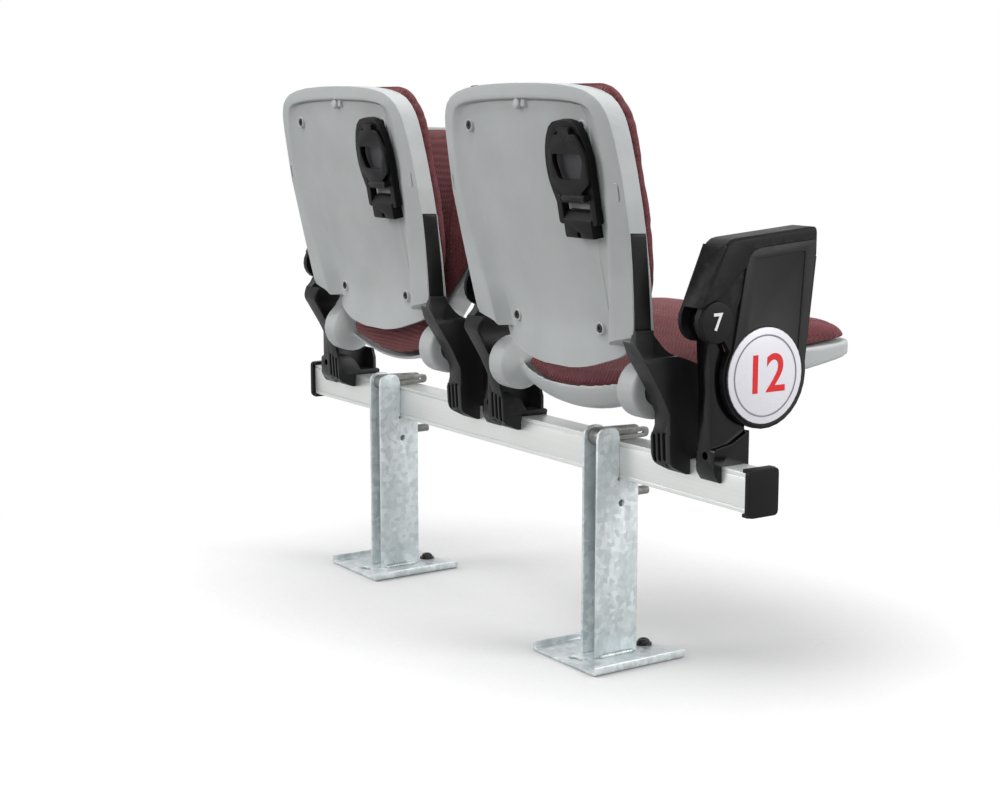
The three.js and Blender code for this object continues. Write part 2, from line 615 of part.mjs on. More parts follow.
// The backrest's cushion, in the shell's tray.
function backCushionSolid() {
  const bottom = backCushion.bottom;
  const upper = backRows();
  const top = upper[upper.length - 1];
  const below = back.rimBottom - bottom;
  const rows = [...[0, 0.07, 0.22, 0.52].map((share) => bottom + below * share), back.rimBottom - fit.gap,
    back.rimBottom + 0.3 * below, ...upper];
  const vs = rows.map((height) => (height - bottom) / (top - bottom));
  const us = [-1, -0.96, -0.88, -0.7, -0.4, 0, 0.4, 0.7, 0.88, 0.96, 1];
  const heightAt = (v) => bottom + (top - bottom) * v;
  const halfAt = (height) => backHalfWidth(height) - back.lip - backCushion.clear;
  const rear = (u, v) => {
    const height = heightAt(v);
    const share = (height - back.bottom) / (back.top - back.bottom);
    return [u * halfAt(height), -(panelRear(share) + back.wall + backCushion.clear), height];
  };
  const front = (u, v) => {
    const height = heightAt(v);
    const share = (height - back.bottom) / (back.top - back.bottom);
    const full = crown(u, 0.18) * crown(2 * v - 1, 0.16);
    const deep = rimRear(share) + back.rimDepth + backCushion.crown * full;
    const low = panelRear(share) + back.wall + fit.gap + backCushion.edge + backCushion.roll * full;
    return [u * halfAt(height), -Math.max(low, height < back.rimBottom ? low : deep - backCushion.crown * (1 - full)),
      height];
  };
  return slab(us, vs, front, rear);
}

// The seat pan's side profile, in shares of its length.
const panTopShares = [[0, 0], [0.15, 0.2], [0.35, 0.47], [0.6, 0.81], [0.92, 0.97], [1, 1]];
const panUnderShares = [[0, 0], [0.15, 0.08], [0.35, 0.3], [0.6, 0.58], [0.92, 0.85], [1, 0.9]];
const panBowShares = [[0, 1], [0.15, 0.55], [0.35, 0.25], [0.7, 0.08], [1, 0]];
const seatTopShares = [[0, 0.02], [0.05, 0.14], [0.13, 0.29], [0.29, 0.58], [0.44, 0.85], [0.6, 0.985], [0.76, 1],
  [0.92, 0.9], [1, 0.75]];

function panHalfWidth(reach) {
  const start = pan.front - pan.corner;
  if (reach > start) {
    return pan.halfWidth - pan.corner + Math.sqrt(Math.max(0, pan.corner ** 2 - (reach - start) ** 2));
  }
  const along = Math.min(1, Math.max(0, (reach - pan.waistEnd) / pan.waistRun));
  return pan.waist + (pan.halfWidth - pan.waist) * along * along * (3 - 2 * along);
}

function panPlace(v) {
  return pan.rear + (pan.front - pan.rear) * v;
}

function panTop(u, v) {
  return -pan.topDrop + pan.rise * follow(panTopShares, v) + pan.bowTop * u * u * follow(panBowShares, v);
}

function panUnder(u, v) {
  return -pan.underDrop + pan.underRise * follow(panUnderShares, v) + pan.bowUnder * u * u * follow(panBowShares, v);
}

// The seat shell, drawn with its pivot axis on X through the origin.
function panSolid() {
  const us = [-1, -0.93, -0.75, -0.5, -0.25, 0, 0.25, 0.5, 0.75, 0.93, 1];
  const vs = [0, 0.05, 0.14, 0.2, 0.27, 0.35, 0.48, 0.62, 0.77, 0.855, 0.9, 0.945, 0.98, 1];
  const at = (u, v) => u * panHalfWidth(panPlace(v));
  let solid = slab(us, vs,
    (u, v) => [at(u, v), -panPlace(v), panTop(u, v)],
    (u, v) => [at(u, v), -panPlace(v), panUnder(u, v) + (Math.abs(u) > 0.95 ? pan.barrelEdge : 0)]);
  const outer = bracket.centre - bracket.width / 2 - fit.run;
  const profile = [[0, pan.barrelIn - pan.dome], [pan.barrel * 0.5, pan.barrelIn - pan.dome * 0.82],
    [pan.barrel * 0.8, pan.barrelIn - pan.dome * 0.45], [pan.barrel, pan.barrelIn],
    [pan.barrel, outer - pan.barrelEdge], [pan.barrel - pan.barrelEdge, outer], [0, outer]];
  const barrel = turned(profile, facets.hub).transform(axisAlongX());
  const bore = barX(pan.pin + fit.run, outer - pan.pinDepth, outer + fit.overrun, 0, 0);
  solid = solid.add(barrel).add(barrel.mirror([1, 0, 0]));
  return solid.subtract(bore).subtract(bore.mirror([1, 0, 0]));
}

// Lays a shape that was turned about Z along +X.
function axisAlongX() {
  return new THREE.Matrix4().makeRotationY(Math.PI / 2).toArray();
}

// The seat's cushion, on the shell, with a dip at its rear where the shell is scooped.
function seatCushionSolid() {
  const us = [-1, -0.97, -0.9, -0.78, -0.55, -0.28, 0, 0.28, 0.55, 0.78, 0.9, 0.97, 1];
  const vs = [0, 0.04, 0.1, 0.17, 0.24, 0.33, 0.45, 0.58, 0.7, 0.81, 0.87, 0.92, 0.965, 1];
  const start = seatCushion.back / (pan.front - pan.rear);
  const end = 1 - seatCushion.front / (pan.front - pan.rear);
  const place = (v) => start + (end - start) * v;
  const half = (v) => panHalfWidth(panPlace(place(v))) - seatCushion.inset;
  const clear = pan.barrelIn - pan.dome - seatCushion.barrelClear;
  const widthAt = (v) => (panPlace(place(v)) < pan.waistEnd ? Math.min(half(v), clear) : half(v));
  const under = (u, v) => {
    const share = u * widthAt(v) / panHalfWidth(panPlace(place(v)));
    return panTop(share, place(v)) + seatCushion.clear;
  };
  const top = (u, v) => {
    const low = under(u, v) + seatCushion.inset;
    const full = crown(u, 0.22) * (0.35 + 0.65 * crown(2 * v - 1, 0.14));
    const high = Math.max(low, seatCushion.rise * follow(seatTopShares, place(v)));
    return low + (high - low) * full;
  };
  return slab(us, vs,
    (u, v) => [u * widthAt(v), -panPlace(place(v)), top(u, v)],
    (u, v) => [u * widthAt(v), -panPlace(place(v)), under(u, v)]);
}

// A pivot pin between a bracket and the seat shell.
function seatPinSolid() {
  const inX = bracket.centre - bracket.width / 2;
  const plateX = inX + bracket.width - bracket.plate / 2 - fit.gap;
  return barX(pan.pin, inX - pan.pinDepth + 2 * fit.run, plateX, -pan.axisBack, pan.axisHeight);
}

// The cup holder's hinge block, in the frame of the backrest's panel: out is away from the panel.
function cupBlockSolid() {
  const { block, ring, stub, standOff, axisOut, axisUp } = cupHolder;
  const { shift, half, low, high, deep, slope } = block;
  const body = acrossX([[-standOff, -low], [-standOff, high], [-deep + slope, high, slope / 3],
    [-deep, axisUp], [-deep, -low, slope / 2]], -shift - half, -shift + half, fit.run);
  const eyelet = barForward(block.eyelet, -shift, -deep - fit.overrun, -deep + slope, -0.75 * low);
  const reach = half + fit.gap + ring.ear - fit.run;
  return body.add(barX(stub, -shift - reach, -shift + reach, -axisOut, axisUp)).subtract(eyelet);
}

// The folding ring that goes round the cup, up against the panel when it is folded.
function cupRingSolid() {
  const { block, ring, flap, axisOut, axisUp } = cupHolder;
  const { half, wall, web } = ring;
  const from = -ring.back - ring.thick;
  const to = -ring.back;
  const low = axisUp - ring.tail;
  const notch = block.half + fit.run;
  const inner = notch - block.shift + ring.ear;
  const outer = -notch - block.shift - ring.ear;
  const belly = 0.43 * ring.top;
  const shoulder = 0.7 * ring.top;
  const body = alongForward([[outer, low, ring.tail], [outer, shoulder, 0.55 * half], [-0.62 * half, ring.top, 0.6 * half],
    [0.62 * half, ring.top, 0.6 * half], [half, shoulder, 0.55 * half], [half, belly, 0.35 * half], [inner, web],
    [inner, low, ring.tail]], from, to, fit.run);
  const clear = alongForward(rectangle(-notch - block.shift, notch - block.shift, low - fit.overrun, web),
    from - fit.overrun, to + fit.overrun);
  const wide = half - wall;
  const holeTop = ring.top - 0.8 * wall;
  const hole = alongForward([[-wide, belly, wall], [-wide, shoulder, 1.5 * wall], [-0.55 * wide, holeTop, 1.3 * wall],
    [0.55 * wide, holeTop, 1.3 * wall], [wide, shoulder, 1.5 * wall], [wide, belly, wall],
    [0.62 * wide, web + 1.2 * wall, wall / 2], [-0.62 * wide, web + 1.2 * wall, wall / 2]],
    from - fit.overrun, to + fit.overrun);
  const bore = barX(cupHolder.stub + fit.run, -ring.top, ring.top, -axisOut, axisUp);
  const solid = body.subtract(clear).subtract(hole).subtract(bore);
  const lugOut = flapAxisOut();
  const up = web + flap.rise;
  const tall = flap.lug * 0.7;
  const lugs = [-1, 1].map((side) => {
    const a = -flap.shift + side * (flap.half - flap.lug);
    const b = -flap.shift + side * flap.half;
    return acrossX([[-ring.back - ring.thick / 2, up - tall], [-lugOut - tall, up - tall, tall / 2],
      [-lugOut - tall, up + tall, tall / 2], [-ring.back - ring.thick / 2, up + tall]], Math.min(a, b), Math.max(a, b));
  });
  const rod = barX(flap.rod, -flap.shift - flap.half + fit.run, -flap.shift + flap.half - fit.run, -lugOut, up,
    facets.screw);
  return solid.add(lugs[0]).add(lugs[1]).add(rod);
}

function flapAxisOut() {
  return cupHolder.ring.back + cupHolder.ring.thick + cupHolder.flap.barrel + fit.run;
}

// The flap that swings out under the ring and carries the cup.
function cupFlapSolid() {
  const { flap, ring } = cupHolder;
  const { lug, high, wing, thick, windowLow, windowHigh, tabHalf, tab } = flap;
  const half = flap.half - lug - fit.run;
  const wide = flap.half + wing;
  const out = flapAxisOut();
  const low = ring.web + flap.rise;
  const neck = low + 1.6 * flap.barrel;
  const middle = -flap.shift;
  const plate = alongForward([[middle - half, low], [middle - half, neck], [middle - wide, neck + wing, wing / 2],
    [middle - wide, high - 2 * wing, wing], [middle - 0.55 * wide, high, wing / 2],
    [middle + 0.55 * wide, high, wing / 2], [middle + wide, high - 2 * wing, wing],
    [middle + wide, neck + wing, wing / 2], [middle + half, neck], [middle + half, low]],
    -out - thick / 2, -out + thick / 2);
  const open = flap.window;
  const mid = (windowLow + 2 * windowHigh) / 3;
  const hole = alongForward([[middle - 0.7 * open, windowLow, wing / 2], [middle - open, mid, wing / 2],
    [middle - 0.94 * open, windowHigh, wing / 4], [middle + 0.94 * open, windowHigh, wing / 4],
    [middle + open, mid, wing / 2], [middle + 0.7 * open, windowLow, wing / 2]], -out - fit.overrun,
    -out + fit.overrun);
  const pull = alongForward(rectangle(middle - tabHalf, middle + tabHalf, high - tab / 4, high + tab, tab / 3),
    -out - thick / 2, -out + thick / 2);
  return plate.subtract(hole).add(pull).add(barX(flap.barrel, middle - half, middle + half, -out, low, facets.pin))
    .subtract(barX(flap.rod + fit.run, -ring.half, ring.half, -out, low, facets.screw));
}

// A column: a foot that hooks over the beam, and a blade up to the arm's hub. Drawn for an outer side at +X.
function columnSolid() {
  const { eye, rear, front, footIn, footOut, corner, hook } = column;
  const up = arm.hubHeight;
  const over = beam.top + fit.gap;
  const shoulder = beam.top + column.shoulderRise;
  const neck = beam.top + column.neckRise;
  const blade = acrossX([[-rear + fit.run, over], [-rear, shoulder], [-rear - corner, neck],
    [-arm.hubBack - eye, up - eye / 2], [-arm.hubBack - eye, up, eye / 2], [-arm.hubBack + eye, up, eye / 2],
    [-arm.hubBack + 1.2 * eye, neck], [front, beam.top + column.webRise, 4 * corner], [front, over]],
    -arm.columnIn, arm.columnOut, fit.run);
  const footTop = beam.top + column.footRise;
  const tipTop = beam.top + column.tipRise;
  const footSolid = acrossX([[-rear, footTop, corner], [-rear, beam.top - 1.6 * corner, corner],
    [-corner, beam.top - 1.05 * column.clawDrop, corner / 2], [-fit.gap, beam.top - 1.05 * column.clawDrop],
    [-fit.gap, over], [beam.depth + fit.gap, over], [beam.depth + fit.gap, beam.top - 1.3 * column.clawDrop],
    [beam.depth + hook, beam.top - 1.3 * column.clawDrop, hook / 2], [beam.depth + hook, tipTop],
    [0.8 * front, (3 * tipTop + footTop) / 4], [0.36 * front, (tipTop + 3 * footTop) / 4]],
    -footIn, footOut, fit.run);
  const bore = barForward(column.bore, column.boreAcross, -rear - fit.overrun, -rear + column.boreDeep,
    beam.top + column.boreRise);
  return blade.add(footSolid).add(barX(eye, -arm.columnIn, arm.columnOut, -arm.hubBack, up, facets.hub))
    .subtract(bore).subtract(barX(hub.pin + fit.gap, -arm.outside, arm.outside, -arm.hubBack, up));
}

function hubPinSolid() {
  return barX(hub.pin, -arm.inside + hub.pinInset + fit.run, paddleFace() - hub.pinInset - fit.run,
    -arm.hubBack, arm.hubHeight);
}

// Where the outer cheek's sunk face ends and the panel and hub cap begin.
function paddleFace() {
  return arm.outside - arm.panelThick + fit.run;
}

// The round lower end of a paddle, from its rear, under the disc, to its front.
function paddleArc(radius) {
  return Array.from({ length: facets.hub }, (_, index) => {
    const angle = (150 + 220 * index / (facets.hub - 1)) * degree;
    return [arm.discForward + arm.paddleShift + radius * Math.cos(angle), arm.discHeight + radius * Math.sin(angle)];
  });
}

// The outline of the end panel, with a clearance round it.
function panelCorners(grow) {
  const up = arm.hubHeight;
  const rise = arm.panelRise;
  return [...paddleArc(arm.panelRadius + grow), [arm.frontReach - arm.panelRim + grow, up + rise + grow, arm.panelRim],
    [arm.panelRear - grow, up + rise - arm.panelSlope / 2 + grow, 1.2 * arm.panelSlope],
    [arm.panelNeck - grow, up, arm.panelSlope / 2]];
}

// The arm: a block to rest on and two cheeks round the column's eye. An end arm has a deep outer cheek.
function armSolid(deep) {
  const { inside, outside, hubBack, hubHeight, lobe, frontReach, top, slope, rearTop, block, edge } = arm;
  const inner = -arm.columnIn - fit.run - fit.gap;
  const outer = arm.columnOut + fit.run + fit.gap;
  const face = paddleFace();
  const lowFront = top - block;
  let solid = acrossX([[-rearTop, top - slope, 4 * edge], [frontReach, top, 2.5 * edge], [frontReach, lowFront, 2 * edge],
    [1.1 * lobe, lowFront - 2 * edge, 3 * edge], [-0.3 * lobe, hubHeight + 1.1 * lobe],
    [-hubBack - 0.9 * lobe, hubHeight + 0.7 * lobe]], -inside, outside, edge);
  const cheek = [[-rearTop - edge, top - slope - 2 * edge], [-hubBack - 0.985 * lobe, hubHeight + 0.3 * lobe],
    [-hubBack - 0.985 * lobe, hubHeight], [-hubBack + lobe, hubHeight], [1.6 * lobe, lowFront + edge]];
  const round = (from, to) => barX(lobe, from, to, -hubBack, hubHeight, facets.hub);
  solid = solid.add(acrossX(cheek, -inside, inner)).add(round(-inside, inner));
  solid = solid.add(acrossX(cheek, outer, outside - edge / 2)).add(round(outer, face));
  if (deep) {
    solid = solid.add(acrossX([[-hubBack, hubHeight], ...paddleArc(arm.paddle), [frontReach, lowFront + edge],
      [lobe, lowFront + edge]], outer, face));
    solid = solid.subtract(acrossX(panelCorners(fit.run), face, outside + fit.overrun));
  }
  solid = solid.subtract(barX(hub.cap + fit.run, face, outside + fit.overrun, -hubBack, hubHeight, facets.hub));
  return solid.subtract(barX(hub.pin + fit.run, -inside + hub.pinInset, face - hub.pinInset + fit.run,
    -hubBack, hubHeight));
}

// The hub cap on the outer face of an arm.
function hubCapSolid() {
  const low = paddleFace() + fit.gap;
  const profile = [[0, low], [hub.cap, low], [hub.cap, low + hub.capThick - hub.capChamfer],
    [hub.cap - hub.capChamfer, low + hub.capThick], [0, low + hub.capThick]];
  return turned(profile, facets.hub).transform(axisAlongX()).translate([0, arm.hubBack, arm.hubHeight]);
}

function panelFace() {
  return paddleFace() + arm.panelThick - fit.gap;
}

// The end panel: a border, a shallow field and a round seat for the disc.
function endPanelSolid() {
  const { discForward, discHeight, panelRim, panelDeep, disc } = arm;
  const low = paddleFace() + fit.gap;
  const high = panelFace();
  const floor = high - panelDeep;
  const field = arm.field.map(([forward, rise, radius = 0]) => [forward, arm.hubHeight + rise, radius]);
  const count = 2 * facets.hub;
  return acrossX(panelCorners(0), low, high).subtract(acrossX(field, floor, high + fit.overrun))
    .add(barX(disc + panelRim / 2, low, high, discForward, discHeight, count))
    .subtract(barX(disc + fit.gap, floor, high + fit.overrun, discForward, discHeight, count));
}

// The round plain disc that lies in the end panel.
function endDiscSolid() {
  const low = panelFace() - arm.panelDeep + fit.gap;
  return barX(arm.disc, low, low + arm.discThick, arm.discForward, arm.discHeight, 2 * facets.hub);
}

const sides = [{ name: 'right', x: -1 }, { name: 'left', x: 1 }];

function mirrored(solid, side) {
  return side > 0 ? solid : solid.mirror([1, 0, 0]);
}

// Beam and caps.
add('beam', beamSolid(), materials.aluminium);
sides.forEach(({ name, x }) => add(`beam_cap_${name}`, mirrored(capSolid(), x), materials.nylon));

// Posts.
sides.forEach(({ name, x }) => {
  const stand = new THREE.Group();
  stand.position.x = x * post.spacing / 2;
  seatRow.add(stand);
  add(`post_${name}`, postSolid(), materials.galvanised, stand);
  add(`base_plate_${name}`, baseSolid(), materials.galvanised, stand);
  add(`floor_bolt_${name}`, floorBoltSolid(), materials.bolt, stand);
  add(`clamp_lever_${name}`, leverSolid(), materials.galvanised, stand);
  add(`clamp_bolt_${name}`, clampBoltSolid(), materials.galvanised, stand);
});

// Seats. The right one is down and the left one is tipped up.
sides.forEach(({ name, x }) => {
  const seat = new THREE.Group();
  seat.position.x = x * row.pitch / 2;
  seatRow.add(seat);
  add(`back_shell_${name}`, backSolid(), materials.shell, seat);
  add(`back_cushion_${name}`, backCushionSolid(), materials.fabric, seat);
  screwSpots().forEach(([across, height], index) => {
    add(`back_screw_${name}_${index + 1}`, screwSolid(across, height), materials.bolt, seat);
  });
  sides.forEach((hand) => {
    add(`bracket_${name}_${hand.name}`, mirrored(bracketSolid(), hand.x), materials.nylon, seat);
    add(`seat_pin_${name}_${hand.name}`, mirrored(seatPinSolid(), hand.x), materials.bolt, seat);
  });
  const tilted = new THREE.Group();
  tilted.position.set(0, pan.axisBack, pan.axisHeight);
  tilted.rotation.x = x > 0 ? -row.restTilt * degree : 0;
  seat.add(tilted);
  add(`seat_shell_${name}`, panSolid(), materials.shell, tilted);
  add(`seat_cushion_${name}`, seatCushionSolid(), materials.fabric, tilted);
  const holder = new THREE.Group();
  const hingeShare = cupHolder.hingeRise / (back.top - back.bottom);
  holder.position.set(-cupHolder.across, -panelRear(hingeShare), back.bottom + cupHolder.hingeRise);
  holder.rotation.x = -cupHolder.lean * degree;
  seat.add(holder);
  add(`cup_block_${name}`, cupBlockSolid(), materials.nylon, holder);
  add(`cup_ring_${name}`, cupRingSolid(), materials.nylon, holder);
  add(`cup_flap_${name}`, cupFlapSolid(), materials.nylon, holder);
});

// Arms. The middle one is handed like the right one.
[{ name: 'right', place: -1, out: -1, deep: true }, { name: 'middle', place: 0, out: -1, deep: false },
  { name: 'left', place: 1, out: 1, deep: true }].forEach(({ name, place, out, deep }) => {
  const stand = new THREE.Group();
  stand.position.x = place * row.pitch;
  seatRow.add(stand);
  add(`arm_column_${name}`, mirrored(columnSolid(), out), materials.gloss, stand);
  add(`arm_${name}`, mirrored(armSolid(deep), out), materials.nylon, stand);
  add(`hub_pin_${name}`, mirrored(hubPinSolid(), out), materials.bolt, stand);
  add(`hub_cap_${name}`, mirrored(hubCapSolid(), out), materials.nylon, stand);
  if (deep) {
    add(`end_panel_${name}`, mirrored(endPanelSolid(), out), materials.nylon, stand);
    add(`end_disc_${name}`, mirrored(endDiscSolid(), out), materials.disc, stand);
  }
});

// The origin is on the floor, under the centre of the row's bounding box.
seatRow.updateMatrixWorld(true);
const box = new THREE.Box3().setFromObject(seatRow, true);
const centre = box.getCenter(new THREE.Vector3());
seatRow.position.set(-centre.x, -centre.y, -box.min.z);
seatRow.updateMatrixWorld(true);

export default seatRow;
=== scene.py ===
"""Two tip-up stadium seats on one beam: the looks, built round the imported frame."""

from __future__ import annotations

import json
import logging
import math
from dataclasses import dataclass
from enum import Enum
from typing import Callable, Sequence

import bpy
from mathutils import Matrix, Vector

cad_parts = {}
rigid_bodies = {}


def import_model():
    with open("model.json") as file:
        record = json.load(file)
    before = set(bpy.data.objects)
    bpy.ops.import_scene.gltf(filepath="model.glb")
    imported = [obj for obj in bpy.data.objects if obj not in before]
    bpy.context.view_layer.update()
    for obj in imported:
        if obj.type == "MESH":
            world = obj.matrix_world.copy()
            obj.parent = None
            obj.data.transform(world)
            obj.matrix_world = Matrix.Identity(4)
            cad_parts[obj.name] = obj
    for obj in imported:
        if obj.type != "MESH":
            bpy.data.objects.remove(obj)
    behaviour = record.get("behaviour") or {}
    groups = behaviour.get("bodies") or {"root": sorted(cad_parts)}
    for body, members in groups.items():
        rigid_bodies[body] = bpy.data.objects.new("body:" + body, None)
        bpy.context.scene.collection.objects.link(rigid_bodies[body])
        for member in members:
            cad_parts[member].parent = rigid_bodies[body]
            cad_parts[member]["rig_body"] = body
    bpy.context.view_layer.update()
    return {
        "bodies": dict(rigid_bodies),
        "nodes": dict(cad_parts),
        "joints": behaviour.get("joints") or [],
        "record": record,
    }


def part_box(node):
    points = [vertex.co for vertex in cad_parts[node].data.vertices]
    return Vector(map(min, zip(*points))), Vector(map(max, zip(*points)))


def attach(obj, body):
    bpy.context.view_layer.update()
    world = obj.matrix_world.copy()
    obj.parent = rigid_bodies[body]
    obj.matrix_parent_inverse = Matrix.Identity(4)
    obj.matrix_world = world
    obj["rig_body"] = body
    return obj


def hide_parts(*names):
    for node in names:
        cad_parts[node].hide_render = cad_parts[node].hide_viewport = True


LOG = logging.getLogger("stadium_seat")
QUARTER_TURN = math.radians(90)
SAME_POINT = 2e-6
Colour = tuple[float, float, float]
Place = tuple[float, float, float]


class Side(Enum):
    """The sitter's right and left, with the sign of each along X."""

    RIGHT = ("right", -1)
    LEFT = ("left", 1)

    @property
    def word(self) -> str:
        """Returns the side's name, as the CAD nodes have it."""
        return self.value[0]

    @property
    def sign(self) -> int:
        """Returns -1 on the sitter's right and 1 on the left."""
        return self.value[1]


def linear(colour: Colour) -> tuple[float, float, float, float]:
    """Turns a screen colour into a linear one.

    Args:
        colour: Red, green and blue, from 0 to 255, as a screen shows them.

    Returns:
        The linear red, green, blue and alpha.
    """

    def channel(value: float) -> float:
        """Returns one linear channel."""
        share = value / 255
        return share / 12.92 if share <= 0.04045 else ((share + 0.055) / 1.055) ** 2.4

    return (channel(colour[0]), channel(colour[1]), channel(colour[2]), 1.0)


def blend(low: float, high: float, share: float) -> float:
    """Returns the value at a share of the way from low to high."""
    return low + (high - low) * share


def follow(rows: Sequence[tuple[float, float]], place: float) -> float:
    """Reads a table of places and values, with a straight run between its rows.

    Args:
        rows: The table, in order of place.
        place: Where to read it.

    Returns:
        The value there.
    """
    if place <= rows[0][0]:
        return rows[0][1]
    for (start, low), (end, high) in zip(rows, rows[1:]):
        if place <= end:
            return blend(low, high, (place - start) / (end - start))
    return rows[-1][1]


def smooth_step(share: float) -> float:
    """Returns a share eased at both ends."""
    share = min(1.0, max(0.0, share))
    return share * share * (3 - 2 * share)


class Bench:
    """The workbench: Blender's own operators, each on one piece at a time."""

    @staticmethod
    def clear() -> None:
        """Leaves edit mode and deselects everything."""
        if bpy.context.object is not None and bpy.context.object.mode != "OBJECT":
            bpy.ops.object.mode_set(mode="OBJECT")
        bpy.ops.object.select_all(action="DESELECT")

    @staticmethod
    def pick(*objs: bpy.types.Object) -> None:
        """Selects these pieces alone, with the first one active.

        Args:
            objs: The pieces.
        """
        Bench.clear()
        for obj in objs:
            obj.select_set(True)
        bpy.context.view_layer.objects.active = objs[0]

    @staticmethod
    def named(name: str) -> bpy.types.Object:
        """Names the piece that an operator has just made, and bakes its place into its mesh.

        Args:
            name: The piece's name.

        Returns:
            The piece.
        """
        obj = bpy.context.object
        obj.name = name
        obj.data.name = name
        bpy.ops.object.transform_apply(location=True, rotation=True, scale=True)
        return obj

    @staticmethod
    def copy(source: bpy.types.Object, name: str) -> bpy.types.Object:
        """Copies a piece with its own mesh, and frees it from what it rode on.

        Args:
            source: The piece or CAD node.
            name: The copy's name.

        Returns:
            The copy.
        """
        obj = bpy.data.objects.new(name, source.data.copy())
        obj.data.name = name
        bpy.context.scene.collection.objects.link(obj)
        return obj

    @staticmethod
    def edit(obj: bpy.types.Object, *steps: Callable[[], object]) -> None:
        """Runs operators in edit mode with the whole mesh selected first.

        Args:
            obj: The piece.
            steps: What to run, in order.
        """
        Bench.pick(obj)
        bpy.ops.object.mode_set(mode="EDIT")
        bpy.ops.mesh.select_all(action="SELECT")
        for step in steps:
            step()
        bpy.ops.object.mode_set(mode="OBJECT")

    @staticmethod
    def on_faces(obj: bpy.types.Object, test: Callable[[bpy.types.MeshPolygon], bool],
                 *steps: Callable[[], object]) -> None:
        """Runs operators in edit mode on the faces that pass a test.

        Args:
            obj: The piece.
            test: Says whether a face is wanted.
            steps: What to run, in order.
        """
        Bench.edit(obj, lambda: bpy.ops.mesh.select_all(action="DESELECT"),
                   lambda: bpy.ops.mesh.select_mode(type="FACE"))
        for face in obj.data.polygons:
            face.select = test(face)
        Bench.pick(obj)
        bpy.ops.object.mode_set(mode="EDIT")
        for step in steps:
            step()
        bpy.ops.object.mode_set(mode="OBJECT")

    @staticmethod
    def faces_rear(face: bpy.types.MeshPolygon) -> bool:
        """Says whether a face looks to the rear of the row."""
        return face.normal.y > 0.9

    @staticmethod
    def drum(name: str, vertices: int, radius: float, depth: float, place: Place) -> bpy.types.Object:
        """Makes a short drum along Y.

        Args:
            name: The piece's name.
            vertices: Points round it.
            radius: Its radius.
            depth: Its length.
            place: Its centre.

        Returns:
            The drum.
        """
        Bench.clear()
        bpy.ops.mesh.primitive_cylinder_add(vertices=vertices, radius=radius, depth=depth, end_fill_type="NGON",
                                            location=place, rotation=(-QUARTER_TURN, 0, 0))
        return Bench.named(name)

    @staticmethod
    def dish(obj: bpy.types.Object, lip: float, sunk: float) -> None:
        """Sinks the middle of a drum's rear face.

        Args:
            obj: The drum.
            lip: The width of the rim that is left.
            sunk: How far the middle goes in.
        """
        inwards = {"value": (0, -sunk, 0)}
        Bench.on_faces(obj, Bench.faces_rear, lambda: bpy.ops.mesh.inset(thickness=lip, depth=0),
                       lambda: bpy.ops.mesh.extrude_region_move(TRANSFORM_OT_translate=inwards))

    @staticmethod
    def modify(obj: bpy.types.Object, kind: str, **settings: object) -> None:
        """Adds a modifier and applies it.

        Args:
            obj: The piece.
            kind: Blender's name for the modifier.
            settings: The modifier's settings.
        """
        Bench.pick(obj)
        bpy.ops.object.modifier_add(type=kind)
        modifier = obj.modifiers[-1]
        for key, value in settings.items():
            setattr(modifier, key, value)
        bpy.ops.object.modifier_apply(modifier=modifier.name)

    @staticmethod
    def soften(obj: bpy.types.Object, width: float, segments: int = 2, angle: float = 32) -> None:
        """Rounds the edges of a piece and shades it smooth between them.

        Args:
            obj: The piece.
            width: The round's width.
            segments: Faces across the round.
            angle: Edges sharper than this, in degrees, are rounded.
        """
        if width > 0:
            Bench.modify(obj, "BEVEL", width=width, segments=segments, limit_method="ANGLE",
                         angle_limit=math.radians(angle), use_clamp_overlap=True)
        Bench.shade(obj, angle)

    @staticmethod
    def shade(obj: bpy.types.Object, angle: float = 35) -> None:
        """Shades a piece smooth, with edges sharper than the angle left crisp.

        Args:
            obj: The piece.
            angle: The angle in degrees.
        """
        Bench.pick(obj)
        bpy.ops.object.shade_smooth_by_angle(angle=math.radians(angle))

    @staticmethod
    def join(objs: Sequence[bpy.types.Object]) -> bpy.types.Object:
        """Joins pieces into the first of them.

        Args:
            objs: The pieces.

        Returns:
            The joined piece.
        """
        Bench.pick(*objs)
        if len(objs) > 1:
            bpy.ops.object.join()
        return objs[0]

    @staticmethod
    def bar(name: str, places: Sequence[float], loop: Callable[[float], Sequence[tuple[float, float]]]
            ) -> bpy.types.Object:
        """Makes a closed bar along X from a loop in Y and Z that may change along it.

        Args:
            name: The piece's name.
            places: The loop's places along X.
            loop: Gives the loop's points at a place.

        Returns:
            The bar.
        """
        count = len(loop(places[0]))
        last = len(places) + 1
        Bench.clear()
        bpy.ops.mesh.primitive_grid_add(x_subdivisions=last, y_subdivisions=count, size=2)
        obj = Bench.named(name)
        for vertex in obj.data.vertices:
            column = round((vertex.co.x + 1) / 2 * last)
            row = round((vertex.co.y + 1) / 2 * count) % count
            place = places[min(max(column - 1, 0), len(places) - 1)]
            points = [Vector(point) for point in loop(place)]
            spot = sum(points, Vector((0, 0))) / count if column in (0, last) else points[row]
            vertex.co = (place, spot.x, spot.y)
        Bench.outward(obj)
        return obj

    @staticmethod
    def outward(obj: bpy.types.Object) -> None:
        """Merges a mesh's doubles and points its faces outwards.

        Args:
            obj: The piece.
        """
        Bench.edit(obj, lambda: bpy.ops.mesh.remove_doubles(threshold=1e-6),
                   lambda: bpy.ops.mesh.normals_make_consistent(inside=False))


